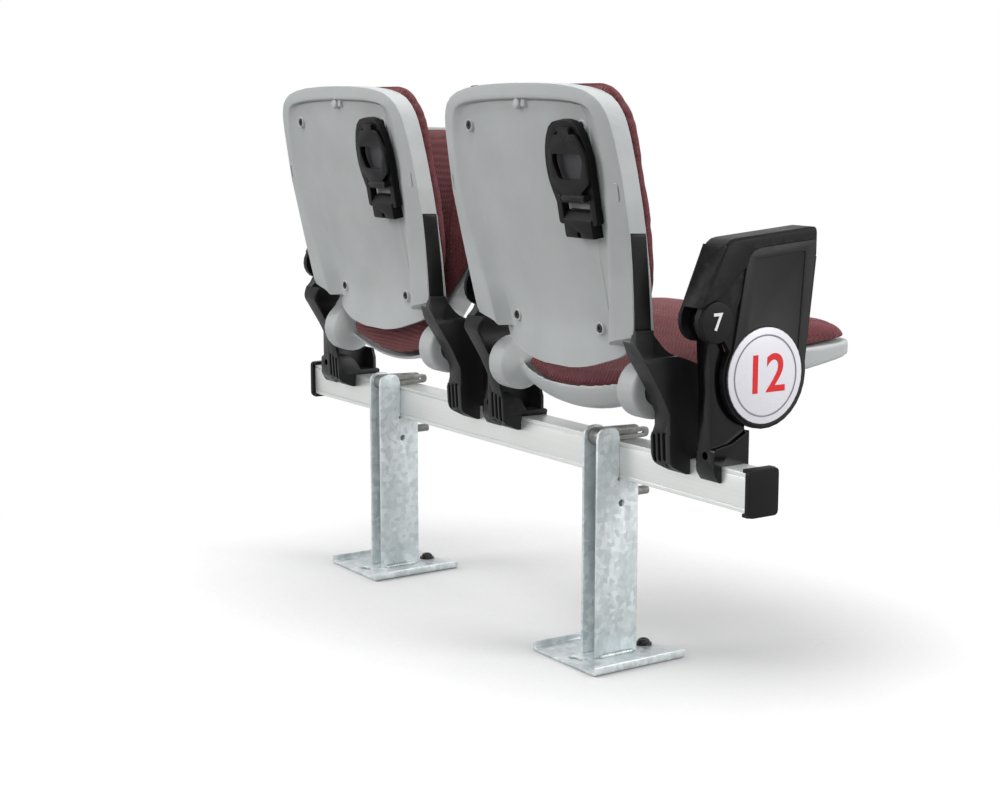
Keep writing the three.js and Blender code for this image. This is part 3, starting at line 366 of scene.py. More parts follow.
class Wiring:
    """A node tree, with short ways to add nodes and to feed them."""

    def __init__(self, tree: bpy.types.NodeTree) -> None:
        """Keeps the tree.

        Args:
            tree: The nodes of a group, a material or the world.
        """
        self.tree = tree

    def feed(self, socket: bpy.types.NodeSocket, value: object) -> None:
        """Feeds an input.

        Args:
            socket: The input.
            value: A number, a colour, a vector or another node's output.
        """
        if isinstance(value, bpy.types.NodeSocket):
            self.tree.links.new(value, socket)
        else:
            socket.default_value = value

    def add(self, kind: str, inputs: dict[str | int, object] | None = None,
            **settings: object) -> bpy.types.Node:
        """Adds a shader node.

        Args:
            kind: Blender's name for the node, without "ShaderNode".
            inputs: What feeds each input, by its name or number.
            settings: The node's own settings.

        Returns:
            The node.
        """
        node = self.tree.nodes.new(f"ShaderNode{kind}")
        for key, value in settings.items():
            setattr(node, key, value)
        for key, value in (inputs or {}).items():
            self.feed(node.inputs[key], value)
        return node

    def maths(self, operation: str, *values: object) -> bpy.types.NodeSocket:
        """Adds a Math node.

        Args:
            operation: Blender's name for the operation.
            values: Its inputs, each a number or a socket.

        Returns:
            Its value.
        """
        return self.add("Math", dict(enumerate(values)), operation=operation).outputs[0]

    def plus(self, first: object, second: object) -> bpy.types.NodeSocket:
        """Returns the sum of two values."""
        return self.maths("ADD", first, second)

    def times(self, first: object, second: object) -> bpy.types.NodeSocket:
        """Returns the product of two values."""
        return self.maths("MULTIPLY", first, second)

    def noise(self, vector: bpy.types.NodeSocket, scale: object, detail: float,
              roughness: float = 0.5) -> bpy.types.NodeSocket:
        """Adds a Noise Texture.

        Args:
            vector: Where it reads its place.
            scale: Its scale, a number or a socket.
            detail: Its detail.
            roughness: Its roughness.

        Returns:
            Its value.
        """
        inputs = {"Vector": vector, "Scale": scale, "Detail": detail, "Roughness": roughness}
        return self.add("TexNoise", inputs).outputs["Fac"]

    def ramp(self, value: bpy.types.NodeSocket, low: float, high: float) -> bpy.types.NodeSocket:
        """Stretches a value so that low gives 0 and high gives 1, eased at both ends.

        Args:
            value: The value.
            low: What gives 0.
            high: What gives 1.

        Returns:
            The stretched value.
        """
        inputs = {"Value": value, "From Min": low, "From Max": high}
        return self.add("MapRange", inputs, interpolation_type="SMOOTHSTEP").outputs["Result"]

    def span(self, mask: bpy.types.NodeSocket, low: float, high: float) -> bpy.types.NodeSocket:
        """Returns a number that is low where a mask is 0 and high where it is 1."""
        return self.add("MapRange", {"Value": mask, "To Min": low, "To Max": high}).outputs["Result"]


class Group(Wiring):
    """A shader group in the making, which reads a place and gives masks and heights."""

    def __init__(self, name: str, inputs: dict[str, float], outputs: Sequence[str]) -> None:
        """Starts the group with its sockets.

        Args:
            name: The group's name.
            inputs: Each number that a material may set, with its default.
            outputs: The names of what it gives.
        """
        super().__init__(bpy.data.node_groups.new(name, "ShaderNodeTree"))
        sockets = self.tree.interface
        sockets.new_socket("Vector", in_out="INPUT", socket_type="NodeSocketVector")
        for label, value in inputs.items():
            sockets.new_socket(label, in_out="INPUT", socket_type="NodeSocketFloat").default_value = value
        for label in outputs:
            sockets.new_socket(label, in_out="OUTPUT", socket_type="NodeSocketFloat")
        self.given = self.tree.nodes.new("NodeGroupInput").outputs
        self.place = self.given["Vector"]
        self.wanted = self.tree.nodes.new("NodeGroupOutput").inputs

    def give(self, **values: bpy.types.NodeSocket) -> bpy.types.NodeTree:
        """Feeds the group's outputs.

        Args:
            values: What feeds each of them.

        Returns:
            The finished group.
        """
        for label, value in values.items():
            self.feed(self.wanted[label], value)
        return self.tree


class Effects:
    """The shader groups that several materials share, each built once."""

    def __init__(self) -> None:
        """Builds every group."""
        self.grain = self._grain()
        self.smudge = self._smudge()
        self.weave = self._weave()
        self.spangle = self._spangle()
        self.drawn = self._drawn()
        self.wear = self._wear()

    @staticmethod
    def _grain() -> bpy.types.NodeTree:
        """Builds the fine pebble of moulded plastic.

        Returns:
            The group.
        """
        group = Group("Moulded grain", {"Cells": 900.0}, ["Height"])
        cells = group.given["Cells"]
        pebbles = group.add("TexVoronoi", {"Vector": group.place, "Scale": cells}, feature="SMOOTH_F1")
        fine = group.noise(group.place, group.times(cells, 2.1), detail=2)
        coarse = group.times(pebbles.outputs["Distance"], 0.6)
        return group.give(Height=group.plus(coarse, group.times(fine, 0.5)))

    @staticmethod
    def _smudge() -> bpy.types.NodeTree:
        """Builds the soft unevenness that handling and dust leave.

        Returns:
            The group.
        """
        group = Group("Smudge and dust", {"Patches": 9.0}, ["Mask", "Specks"])
        patches = group.given["Patches"]
        large = group.noise(group.place, patches, detail=5, roughness=0.6)
        small = group.noise(group.place, group.times(patches, 38.0), detail=3, roughness=0.7)
        return group.give(Mask=group.ramp(large, 0.3, 0.72), Specks=group.ramp(small, 0.66, 0.78))

    @staticmethod
    def _weave() -> bpy.types.NodeTree:
        """Builds a basket weave of thick slubbed yarns that holds on every face of a cushion.

        Returns:
            The group.
        """
        group = Group("Slubbed weave", {"Cells": 300.0}, ["Height", "Yarn", "Slub"])
        parts = group.add("SeparateXYZ", {0: group.place}).outputs
        wobble = group.times(group.noise(group.place, 55.0, detail=2), 0.0016)
        deep = group.times(parts["Y"], 0.72)
        across = group.plus(group.plus(parts["X"], deep), wobble)
        along = group.plus(group.plus(parts["Z"], deep), wobble)
        slants = [group.maths(way, across, along) for way in ("ADD", "SUBTRACT")]
        lines = [group.times(slant, group.given["Cells"]) for slant in slants]
        waves = [group.maths("SINE", group.times(line, math.pi)) for line in lines]
        warp, weft = [group.maths("ABSOLUTE", wave) for wave in waves]
        over = group.maths("GREATER_THAN", group.times(waves[0], waves[1]), 0.0)
        under = group.maths("SUBTRACT", 1.0, over)
        yarn = group.plus(group.times(warp, over), group.times(group.times(weft, 0.75), under))
        fibres = group.noise(group.place, 1500.0, detail=2)
        slub = group.noise(group.place, 420.0, detail=3, roughness=0.7)
        # The yarn profile, high on the crowns and low in the gaps, is given out for the cloth's painted highlight
        # and painted shade.
        return group.give(Height=group.plus(yarn, group.times(fibres, 0.35)), Yarn=yarn,
                          Slub=group.ramp(slub, 0.36, 0.68))

    @staticmethod
    def _spangle() -> bpy.types.NodeTree:
        """Builds the crystals and dull runs of a hot-dip zinc coat.

        Returns:
            The group.
        """
        group = Group("Zinc spangle", {"Crystals": 130.0}, ["Crystal", "Run", "Height"])
        bend = group.add("TexNoise", {"Vector": group.place, "Scale": 45.0}).outputs["Color"]
        shift = group.add("VectorMath", {0: bend, "Scale": 0.012}, operation="SCALE").outputs[0]
        moved = group.add("VectorMath", {0: group.place, 1: shift}, operation="ADD").outputs[0]
        cells = group.add("TexVoronoi", {"Vector": moved, "Scale": group.given["Crystals"]}).outputs["Color"]
        crystal = group.add("SeparateColor", {0: cells}).outputs["Red"]
        stretch = group.add("Mapping", {"Vector": group.place, "Scale": (26.0, 26.0, 7.0)}).outputs[0]
        run = group.ramp(group.noise(stretch, 1.0, detail=6, roughness=0.62), 0.4, 0.66)
        lumps = group.noise(group.place, 160.0, detail=4, roughness=0.6)
        return group.give(Crystal=crystal, Run=run, Height=lumps)

    @staticmethod
    def _drawn() -> bpy.types.NodeTree:
        """Builds the fine lines that a die leaves along an extruded bar.

        Returns:
            The group.
        """
        group = Group("Die lines", {}, ["Line"])
        stretch = group.add("Mapping", {"Vector": group.place, "Scale": (1.6, 900.0, 900.0)}).outputs[0]
        return group.give(Line=group.noise(stretch, 1.0, detail=3, roughness=0.6))

    @staticmethod
    def _wear() -> bpy.types.NodeTree:
        """Builds the rub along raised edges.

        Returns:
            The group.
        """
        group = Group("Edge wear", {}, ["Mask"])
        edge = group.ramp(group.add("NewGeometry").outputs["Pointiness"], 0.52, 0.6)
        broken = group.ramp(group.noise(group.place, 75.0, detail=4, roughness=0.65), 0.35, 0.65)
        return group.give(Mask=group.times(edge, broken))


class Paint(Wiring):
    """One material in the making: a Principled shader and short ways to feed it."""

    def __init__(self, name: str) -> None:
        """Starts the material.

        Args:
            name: The material's name.
        """
        self.material = bpy.data.materials.new(name)
        self.material.use_nodes = True
        super().__init__(self.material.node_tree)
        self.shader = self.tree.nodes["Principled BSDF"].inputs
        self.place = self.add("TexCoord").outputs["Object"]

    def group(self, tree: bpy.types.NodeTree, **values: float) -> Sequence[bpy.types.NodeSocket]:
        """Places a shared effect, fed with Object coordinates.

        Args:
            tree: The effect's group.
            values: Its own values.

        Returns:
            What the effect gives, by name.
        """
        return self.add("Group", {"Vector": self.place, **values}, node_tree=tree).outputs

    def mix(self, mask: bpy.types.NodeSocket, first: object, second: object,
            share: float = 1.0) -> bpy.types.NodeSocket:
        """Mixes two colours by a mask.

        Args:
            mask: The mask.
            first: The colour where the mask is 0, a screen colour or a socket.
            second: The colour where it is 1, a screen colour or a socket.
            share: How much of the mask is used.

        Returns:
            The mixed colour.
        """
        start, end = (linear(value) if isinstance(value, tuple) else value for value in (first, second))
        inputs = {"Factor": self.times(mask, share), 6: start, 7: end}
        return self.add("Mix", inputs, data_type="RGBA").outputs[2]

    def colour(self, socket: bpy.types.NodeSocket) -> None:
        """Feeds the base colour."""
        self.feed(self.shader["Base Color"], socket)

    def rough(self, mask: bpy.types.NodeSocket, low: float, high: float) -> None:
        """Feeds the roughness, which is low where a mask is 0 and high where it is 1."""
        self.feed(self.shader["Roughness"], self.span(mask, low, high))

    def bump(self, height: bpy.types.NodeSocket, distance: float, strength: float, corner: float) -> None:
        """Feeds the normal with a bump over softly rounded corners.

        Args:
            height: The bump's height.
            distance: Its depth in metres.
            strength: Its strength.
            corner: The radius that sharp corners are shaded with.
        """
        inputs = {"Distance": distance, "Strength": strength, "Height": height}
        if corner > 0:
            inputs["Normal"] = self.add("Bevel", {"Radius": corner}, samples=4).outputs[0]
        self.feed(self.shader["Normal"], self.add("Bump", inputs).outputs[0])

    def fixed(self, **values: object) -> None:
        """Sets numbers and colours on the shader's own sockets.

        Args:
            values: Socket names, with underscores for spaces, and their values.
        """
        for key, value in values.items():
            self.shader[key.replace("_", " ")].default_value = value


@dataclass(frozen=True)
class MouldedPlastic:
    """Injection-moulded plastic, grained and a little dusty."""

    name: str
    base: Colour
    dusty: Colour
    worn: Colour
    roughness: float
    cells: float = 900.0
    depth: float = 0.00012
    coat: float = 0.0
    corner: float = 0.0008
    specular: float = 0.5

    def build(self, effects: Effects) -> bpy.types.Material:
        """Builds the material.

        Args:
            effects: The shared groups.

        Returns:
            The material.
        """
        paint = Paint(self.name)
        smudge = paint.group(effects.smudge, Patches=11.0)
        wear = paint.group(effects.wear)
        body = paint.mix(smudge["Mask"], self.base, self.dusty, share=0.75)
        specked = paint.mix(smudge["Specks"], body, self.worn, share=0.22)
        paint.colour(paint.mix(wear["Mask"], specked, self.worn, share=0.5))
        paint.rough(smudge["Mask"], low=self.roughness - 0.05, high=self.roughness + 0.09)
        grain = paint.group(effects.grain, Cells=self.cells)
        paint.bump(grain["Height"], distance=self.depth, strength=0.5, corner=self.corner)
        paint.fixed(Coat_Weight=self.coat, Coat_Roughness=0.08, Specular_IOR_Level=self.specular)
        return paint.material


@dataclass(frozen=True)
class WovenFabric:
    """Thick slubbed upholstery cloth, with painted shade in the gaps between its yarns and a painted highlight on
    their crowns.
    """

    name: str
    dark: Colour
    lit: Colour
    slub: Colour
    cells: float = 150.0

    def build(self, effects: Effects) -> bpy.types.Material:
        """Builds the material.

        Args:
            effects: The shared groups.

        Returns:
            The material.
        """
        paint = Paint(self.name)
        weave = paint.group(effects.weave, Cells=self.cells)
        smudge = paint.group(effects.smudge, Patches=6.0)
        # Painted shade and highlight: the yarn mask puts the dark colour in the gaps between yarns and the lit
        # colour on their crowns.
        yarn = paint.mix(weave["Yarn"], self.dark, self.lit)
        slubbed = paint.mix(weave["Slub"], yarn, self.slub, share=0.38)
        paint.colour(paint.mix(smudge["Mask"], slubbed, self.dark, share=0.22))
        paint.rough(weave["Slub"], low=0.82, high=0.97)
        paint.bump(weave["Height"], distance=0.0011, strength=0.9, corner=0.0)
        paint.fixed(Sheen_Weight=0.35, Sheen_Roughness=0.45, Sheen_Tint=linear((226, 168, 170)))
        return paint.material


@dataclass(frozen=True)
class ZincCoat:
    """Hot-dip galvanised or plated steel."""

    name: str
    dark: Colour
    bright: Colour
    stain: Colour
    roughness: float = 0.4
    crystals: float = 130.0
    metallic: float = 0.7
    depth: float = 0.00035

    def build(self, effects: Effects) -> bpy.types.Material:
        """Builds the material.

        Args:
            effects: The shared groups.

        Returns:
            The material.
        """
        paint = Paint(self.name)
        zinc = paint.group(effects.spangle, Crystals=self.crystals)
        wear = paint.group(effects.wear)
        body = paint.mix(zinc["Crystal"], self.dark, self.bright)
        stained = paint.mix(zinc["Run"], body, self.stain, share=0.55)
        paint.colour(paint.mix(wear["Mask"], stained, self.bright, share=0.6))
        paint.rough(zinc["Crystal"], low=self.roughness - 0.09, high=self.roughness + 0.12)
        paint.bump(zinc["Height"], distance=self.depth, strength=0.35, corner=0.0009)
        paint.fixed(Metallic=self.metallic)
        return paint.material


@dataclass(frozen=True)
class DrawnAluminium:
    """Satin extruded aluminium with die lines along it."""

    name: str
    dark: Colour
    bright: Colour

    def build(self, effects: Effects) -> bpy.types.Material:
        """Builds the material.

        Args:
            effects: The shared groups.

        Returns:
            The material.
        """
        paint = Paint(self.name)
        lines = paint.group(effects.drawn)
        smudge = paint.group(effects.smudge, Patches=7.0)
        body = paint.mix(lines["Line"], self.dark, self.bright)
        paint.colour(paint.mix(smudge["Specks"], body, (150, 152, 152), share=0.35))
        paint.rough(smudge["Mask"], low=0.34, high=0.5)
        paint.bump(lines["Line"], distance=0.00006, strength=0.5, corner=0.0009)
        paint.fixed(Metallic=0.65)
        return paint.material


@dataclass(frozen=True)
class Enamel:
    """A smooth printed or lacquered face."""

    name: str
    base: Colour
    faded: Colour
    roughness: float = 0.3

    def build(self, effects: Effects) -> bpy.types.Material:
        """Builds the material.

        Args:
            effects: The shared groups.

        Returns:
            The material.
        """
        paint = Paint(self.name)
        smudge = paint.group(effects.smudge, Patches=16.0)
        body = paint.mix(smudge["Mask"], self.base, self.faded, share=0.6)
        paint.colour(paint.mix(smudge["Specks"], body, self.faded, share=0.4))
        paint.rough(smudge["Mask"], low=self.roughness - 0.05, high=self.roughness + 0.08)
        grain = paint.group(effects.grain, Cells=420.0)
        paint.bump(grain["Height"], distance=0.00005, strength=0.4, corner=0.0)
        return paint.material


FINISHES = {
    "shell": MouldedPlastic("pale grey moulding", (187, 190, 190), (178, 181, 181), (206, 208, 208), 0.48, 1100,
                            0.0001, specular=0.36),
    "nylon": MouldedPlastic("black nylon", (18, 18, 19), (26, 26, 28), (62, 63, 66), 0.42, specular=0.24),
    "arm": MouldedPlastic("grained black arm", (11, 11, 12), (16, 16, 17), (46, 46, 46), 0.46, 760, 0.00016,
                          specular=0.14),
    "field": MouldedPlastic("grained black field", (24, 24, 25), (31, 31, 32), (54, 54, 56), 0.56, 620, 0.0003,
                            specular=0.22),
    "gloss": MouldedPlastic("gloss black column", (6, 6, 7), (9, 9, 10), (42, 43, 44), 0.2, 500, 0.00003, 0.15,
                            specular=0.15),
    "cup": MouldedPlastic("black cup holder", (12, 12, 13), (18, 18, 19), (58, 58, 61), 0.44, specular=0.13),
    "spot": MouldedPlastic("grey spot", (64, 64, 68), (54, 54, 58), (92, 92, 94), 0.42, specular=0.3),
    "cap": MouldedPlastic("black cap", (11, 11, 11), (16, 16, 16), (46, 46, 45), 0.48, 700, 0.00014,
                          specular=0.14),
    # The cloth's dark colour is painted shade between the yarns, and its lit colour is a painted highlight on their
    # crowns.
    "fabric": WovenFabric("maroon cloth", (46, 11, 15), (105, 38, 44), (130, 70, 74)),
    "zinc": ZincCoat("galvanised steel", (190, 197, 199), (220, 226, 228), (172, 180, 181), 0.42, metallic=0.55),
    "plated": ZincCoat("plated steel", (104, 105, 102), (134, 135, 132), (90, 89, 84), 0.36, 90.0, 0.7, 0.00008),
    "weld": ZincCoat("weld bead", (150, 158, 158), (204, 210, 210), (118, 124, 122), 0.45, 420.0, 0.8),
    "bolt": ZincCoat("blackened steel", (30, 29, 29), (58, 56, 55), (44, 36, 31), 0.42, 520.0, 0.8, 0.0002),
    "aluminium": DrawnAluminium("satin aluminium", (207, 209, 208), (226, 228, 226)),
    "disc": Enamel("pale disc", (234, 233, 240), (229, 228, 235)),
    "red": Enamel("red print", (222, 26, 30), (206, 34, 38), 0.35),
    "grey": Enamel("grey print", (128, 122, 134), (142, 137, 148), 0.35),
    "white": Enamel("white print", (240, 240, 240), (222, 222, 222), 0.4),
}


@dataclass(frozen=True)
class Row:
    """The measures that the sub-assemblies share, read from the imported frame."""

    pivot: Vector
    pitch: float
    rear: float
    tilt: float = 70.0

    def centre(self, side: Side) -> float:
        """Returns X of the middle of a seat."""
        return side.sign * self.pitch / 2

    def twin(self, first: bpy.types.Object, tipped: bool) -> bpy.types.Object:
        """Copies a piece of the right seat to the left seat.

        Args:
            first: The right seat's piece.
            tipped: Whether the copy is tipped up with the left seat.

        Returns:
            The copy.
        """
        second = Bench.copy(first, first.name.replace("right", "left"))
        place = Matrix.Translation((self.pitch, 0, 0))
        if tipped:
            turn = Matrix.Rotation(math.radians(-self.tilt), 4, "X")
            place = place @ (Matrix.Translation(self.pivot) @ turn @ Matrix.Translation(-self.pivot))
        second.data.transform(place)
        return second


class Shop:
    """Holds the frame, the row's measures and the finishes, and dresses pieces with them."""

    FLAT = 1.2

    def __init__(self, frame: dict) -> None:
        """Reads the row's measures and builds every finish.
        """
        self.frame = frame
        joint = next(entry for entry in frame["joints"] if entry["name"] == "seat_right_tip")
        self.row = Row(Vector(joint["pos_m"]), 2 * self.middle("seat_shell_left").x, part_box("beam")[1].y)
        effects = Effects()
        self.materials = {key: finish.build(effects) for key, finish in FINISHES.items()}

    def node(self, name: str) -> bpy.types.Object:
        """Returns a CAD node's object."""
        return self.frame["nodes"][name]

    def middle(self, name: str) -> Vector:
        """Returns the centre of a CAD node's box."""
        low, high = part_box(name)
        return (low + high) / 2

    def merged(self, name: str, piece: str, *steps: Callable[[], object]) -> bpy.types.Object:
        """Copies a CAD node's mesh, with its loose triangles joined at their points.

        Args:
            name: The CAD node.
            piece: The copy's name.
            steps: What else to run on it in edit mode, in order.

        Returns:
            The copy.
        """
        obj = Bench.copy(self.node(name), piece)
        Bench.edit(obj, lambda: bpy.ops.mesh.remove_doubles(threshold=SAME_POINT), *steps)
        return obj

    def finish(self, obj: bpy.types.Object, finish: str, slot: str, body: str,
               replaces: Sequence[str] = ()) -> None:
        """Gives a piece its finish and its place in the row.

        Args:
            obj: The piece.
            finish: The finish's key.
            slot: The record's material slot; not used.
            body: The CAD body that it rides on.
            replaces: The CAD nodes that it stands for.
        """
        obj.data.materials.clear()
        obj.data.materials.append(self.materials[finish])
        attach(obj, body)
        if replaces:
            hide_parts(*replaces)
        LOG.info("%s: %s, %d faces", obj.name, finish, len(obj.data.polygons))

    def dress(self, name: str, finish: str, slot: str, width: float = 0.0008, segments: int = 2,
              angle: float = 32) -> bpy.types.Object:
        """Replaces a rigid CAD node by a copy with rounded edges.

        Args:
            name: The CAD node.
            finish: The finish's key.
            slot: The record's material slot.
            width: The width of the rounds.
            segments: Faces across a round.
            angle: Edges sharper than this, in degrees, are rounded.

        Returns:
            The piece.
        """
        obj = self.merged(name, f"{name}_piece",
                          lambda: bpy.ops.mesh.dissolve_limited(angle_limit=math.radians(self.FLAT)))
        Bench.soften(obj, width, segments, angle)
        self.finish(obj, finish, slot, self.node(name)["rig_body"], [name])
        return obj

    def dress_all(self, rows: Sequence[tuple]) -> None:
        """Dresses several CAD nodes.

        Args:
            rows: What dress() takes, for each of them.
        """
        for row in rows:
            self.dress(*row)


@dataclass
class Stand:
    """A post on its plate, with its lever, bolts and welds."""

    side: Side
    bead: float = 0.0035
    plate: float = 0.004
    wall: float = 0.0012
    short: float = 0.006
    inset: float = 0.003
    ripple: float = 0.0016
    sunk: float = 0.35

    def build(self, shop: Shop) -> None:
        """Builds the stand.

        Args:
            shop: The frame and the finishes.
        """
        word = self.side.word
        shop.dress_all([(f"post_{word}", "zinc", "post", 0.0011, 3),
                        (f"base_plate_{word}", "zinc", "base", 0.0009),
                        (f"floor_bolt_{word}", "bolt", "bolt", 0.0006),
                        (f"clamp_lever_{word}", "plated", "lever", 0.0007),
                        (f"clamp_bolt_{word}", "plated", "lever", 0.0007)])
        self.weld(shop)

    def bead_along(self, start: Vector, end: Vector, name: str) -> bpy.types.Object:
        """Lays one weld bead as a run of overlapping ripples.

        Args:
            start: Where the bead starts.
            end: Where it ends.
            name: The piece's name.

        Returns:
            The bead.
        """
        run = end - start
        Bench.clear()
        bpy.ops.mesh.primitive_cylinder_add(vertices=10, radius=self.bead, depth=run.length, location=(0, 0, 0),
                                            end_fill_type="TRIFAN")
        obj = Bench.named(name)
        count = max(6, int(run.length / self.ripple))
        low, high = -run.length / 2, run.length / 2
        for index in range(1, count):
            place = blend(low, high, index / count)
            Bench.edit(obj, lambda: bpy.ops.mesh.bisect(plane_co=(0, 0, place), plane_no=(0, 0, 1)))
        for vertex in obj.data.vertices:
            share = (vertex.co.z - low) / run.length
            ripple = 1 + 0.16 * math.sin(share * count * 2.1) + 0.1 * math.sin(share * 17 + 2)
            end_taper = min(1.0, 0.35 + 9 * min(share, 1 - share))
            vertex.co.x *= ripple * end_taper
            vertex.co.y *= ripple * end_taper
        turn = run.to_track_quat("Z", "Y").to_matrix().to_4x4()
        obj.data.transform(Matrix.Translation((start + end) / 2) @ turn)
        Bench.shade(obj, angle=60)
        return obj

    def weld(self, shop: Shop) -> None:
        """Lays the beads round the post's foot.

        Args:
            shop: The frame and the finishes.
        """
        name = f"foot_weld_{self.side.word}"
        low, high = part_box(f"post_{self.side.word}")
        middle = (low.x + high.x) / 2
        half = (high.x - low.x) / 2 - self.wall
        height = self.plate + self.bead * self.sunk
        front = low.y - self.bead * 0.3
        sides = [middle + sign * (half + self.bead * self.sunk) for sign in (-1, 1)]
        runs = [((x, low.y + self.short), (x, high.y - self.short)) for x in sides]
        runs.append(((middle - half + self.inset, front), (middle + half - self.inset, front)))
        beads = [self.bead_along(Vector((*start, height)), Vector((*end, height)), f"{name}_{index}")
                 for index, (start, end) in enumerate(runs)]
        joined = Bench.join(beads)
        joined.name = name
        shop.finish(joined, "weld", "post", "frame")


@dataclass
class Beam:
    """The beam and its two end caps."""

    edge: float = 0.0012

    def build(self, shop: Shop) -> None:
        """Builds the beam.

        Args:
            shop: The frame and the finishes.
        """
        shop.dress("beam", "aluminium", "beam", self.edge, 3)
        for side in Side:
            shop.dress(f"beam_cap_{side.word}", "cap", "cap", 0.0012, 3, 40)


@dataclass(frozen=True)
class BackForm:
    """The backrest's form: half widths, and depths behind the beam's rear face, by height in metres."""

    tongue_top: float = 0.452
    skin: float = 0.0036
    strip_from: float = 0.002
    strip_to: float = 0.0242
    strip_deep: float = 0.0056
    strip_top: float = 0.6023
    solid_half: float = 0.206
    solid_foot: float = 0.478
    bend_foot: float = 0.436
    solid_low: float = 0.415
    solid_tall: float = 0.377
    solid_near: float = 0.066
    solid_lean: float = 0.061
    solid_rim: float = 0.031
    curl_from: float = 0.07
    curl_over: float = 0.072
    curl_most: float = 0.016

    PANEL = ((0.411, 0.062), (0.47, 0.0615), (0.52, 0.0705), (0.56, 0.0805), (0.6, 0.0917), (0.64, 0.1003),
             (0.7, 0.1128), (0.735, 0.1183), (0.765, 0.1228), (0.792, 0.1268))
    OUTER = ((0.455, 0.178), (0.48, 0.1835), (0.5, 0.1868), (0.52, 0.1897), (0.56, 0.1948), (0.6, 0.1989),
             (0.64, 0.2009), (0.68, 0.1991), (0.72, 0.195), (0.74, 0.1912), (0.752, 0.187), (0.764, 0.179),
             (0.7735, 0.1665))
    OUTER_DEPTH = ((0.455, 0.0703), (0.48, 0.0745), (0.52, 0.0809), (0.56, 0.0876), (0.6, 0.0945), (0.64, 0.1027),
                   (0.68, 0.1097), (0.72, 0.1177), (0.76, 0.126), (0.792, 0.1322))
    CREST = ((0.455, 0.132), (0.48, 0.1366), (0.5, 0.1409), (0.52, 0.1456), (0.56, 0.1551), (0.6, 0.1638),
             (0.64, 0.1696), (0.68, 0.1722), (0.72, 0.169), (0.7485, 0.1615), (0.7585, 0.153))
    CREST_DEPTH = ((0.455, 0.0744), (0.48, 0.0783), (0.52, 0.0849), (0.56, 0.0925), (0.6, 0.1011), (0.64, 0.109),
                   (0.68, 0.116), (0.72, 0.1227), (0.772, 0.1312), (0.792, 0.1342))
    PANEL_EDGE = ((0.45, 0.1187), (0.504, 0.1204), (0.56, 0.1224), (0.586, 0.125), (0.6215, 0.129),
                  (0.647, 0.1345), (0.672, 0.1405), (0.704, 0.1452), (0.739, 0.144), (0.755, 0.1395), (0.762, 0.132))
    FRONT = ((0.455, 0.187), (0.48, 0.1915), (0.54, 0.1975), (0.6, 0.2022), (0.64, 0.2032), (0.68, 0.2018),
             (0.72, 0.1982), (0.74, 0.195), (0.752, 0.191), (0.764, 0.183), (0.7745, 0.17))
    FRONT_DEPTH = ((0.455, 0.0435), (0.48, 0.0475), (0.54, 0.0575), (0.6, 0.0696), (0.64, 0.0775), (0.72, 0.0925),
                   (0.792, 0.107))
    OUTER_TOP = ((0.0, 0.7915), (0.3, 0.791), (0.55, 0.789), (0.75, 0.7855), (0.9, 0.7805), (1.0, 0.7735))
    CREST_TOP = ((0.0, 0.7718), (0.3, 0.7712), (0.6, 0.7695), (0.82, 0.7665), (0.93, 0.7632), (1.0, 0.7585))
    PANEL_TOP = ((0.0, 0.7688), (0.3, 0.7684), (0.6, 0.7673), (0.84, 0.7655), (0.94, 0.764), (1.0, 0.762))
    TONGUE = ((0.411, 0.028), (0.413, 0.047), (0.416, 0.066), (0.419, 0.079), (0.4225, 0.091), (0.426, 0.102),
              (0.43, 0.1145), (0.434, 0.125), (0.44, 0.135), (0.446, 0.141), (0.452, 0.145))
    SOLID_LEAN = ((0, 0), (0.15, 0.07), (0.305, 0.23), (0.49, 0.44), (0.7, 0.69), (0.85, 0.86), (1, 1))
    SOLID_PROUD = ((0, 0.65), (0.17, 0.65), (0.49, 0.25), (1, 0.23))

    def rear_edge(self, height: float) -> tuple[float, float]:
        """Returns the half width and depth of the side wall's rear edge."""
        return (follow(self.OUTER, height), follow(self.OUTER_DEPTH, height))

    def front_edge(self, height: float) -> tuple[float, float]:
        """Returns the half width and depth of the side wall's front edge."""
        return (follow(self.FRONT, height), follow(self.FRONT_DEPTH, height))

    def panel(self, height: float, across: float = 0.0) -> float:
        """Returns the panel's depth; low down, its sides curve forward.

        Args:
            height: The height.
            across: The distance from the seat's middle.

        Returns:
            The depth.
        """
        eased = (follow(self.PANEL, height - 0.012) + 2 * follow(self.PANEL, height)
                 + follow(self.PANEL, height + 0.012)) / 4
        curl = self.curl_most * (max(0.0, abs(across) - self.curl_from) / self.curl_over) ** 1.8
        return eased - curl * (1 - smooth_step((height - 0.445) / 0.07))

    def wall(self, height: float, along: float, sunk: float = 0.0) -> tuple[float, float]:
        """Finds a point of the side wall.

        Args:
            height: The height.
            along: The distance forward from the rear edge, along the wall.
            sunk: How far the point lies under the wall's face.

        Returns:
            The half width and depth there.
        """
        rear = Vector(self.rear_edge(height))
        run = Vector(self.front_edge(height)) - rear
        run.normalize()
        spot = rear + run * along + Vector((run.y, -run.x)) * sunk
        return (spot.x, spot.y)

    def solid_panel(self, height: float) -> float:
        """Returns how deep the CAD panel is."""
        share = (height - self.solid_low) / self.solid_tall
        return self.solid_near + self.solid_lean * follow(self.SOLID_LEAN, share)

    def solid_rear(self, height: float) -> float:
        """Returns how deep the CAD rim's rear face is."""
        proud = follow(self.SOLID_PROUD, (height - self.solid_low) / self.solid_tall)
        return self.solid_panel(height) + self.solid_rim * proud

    def fit_bracket(self, across: float, depth: float, height: float) -> tuple[float, float]:
        """Moves a point of a bracket from the CAD rim's side to this form's side wall.

        Args:
            across: The point's distance from the seat's middle.
            depth: Its depth.
            height: Its height.

        Returns:
            Its new distance from the middle and depth.
        """
        weight = smooth_step((height - self.bend_foot) / (self.solid_foot - self.bend_foot))
        if weight <= 0:
            return (across, depth)
        level = max(height, self.solid_foot)
        spot = self.wall(level, self.solid_rear(level) - depth, self.solid_half - across)
        return (blend(across, spot[0], weight), blend(depth, spot[1], weight))


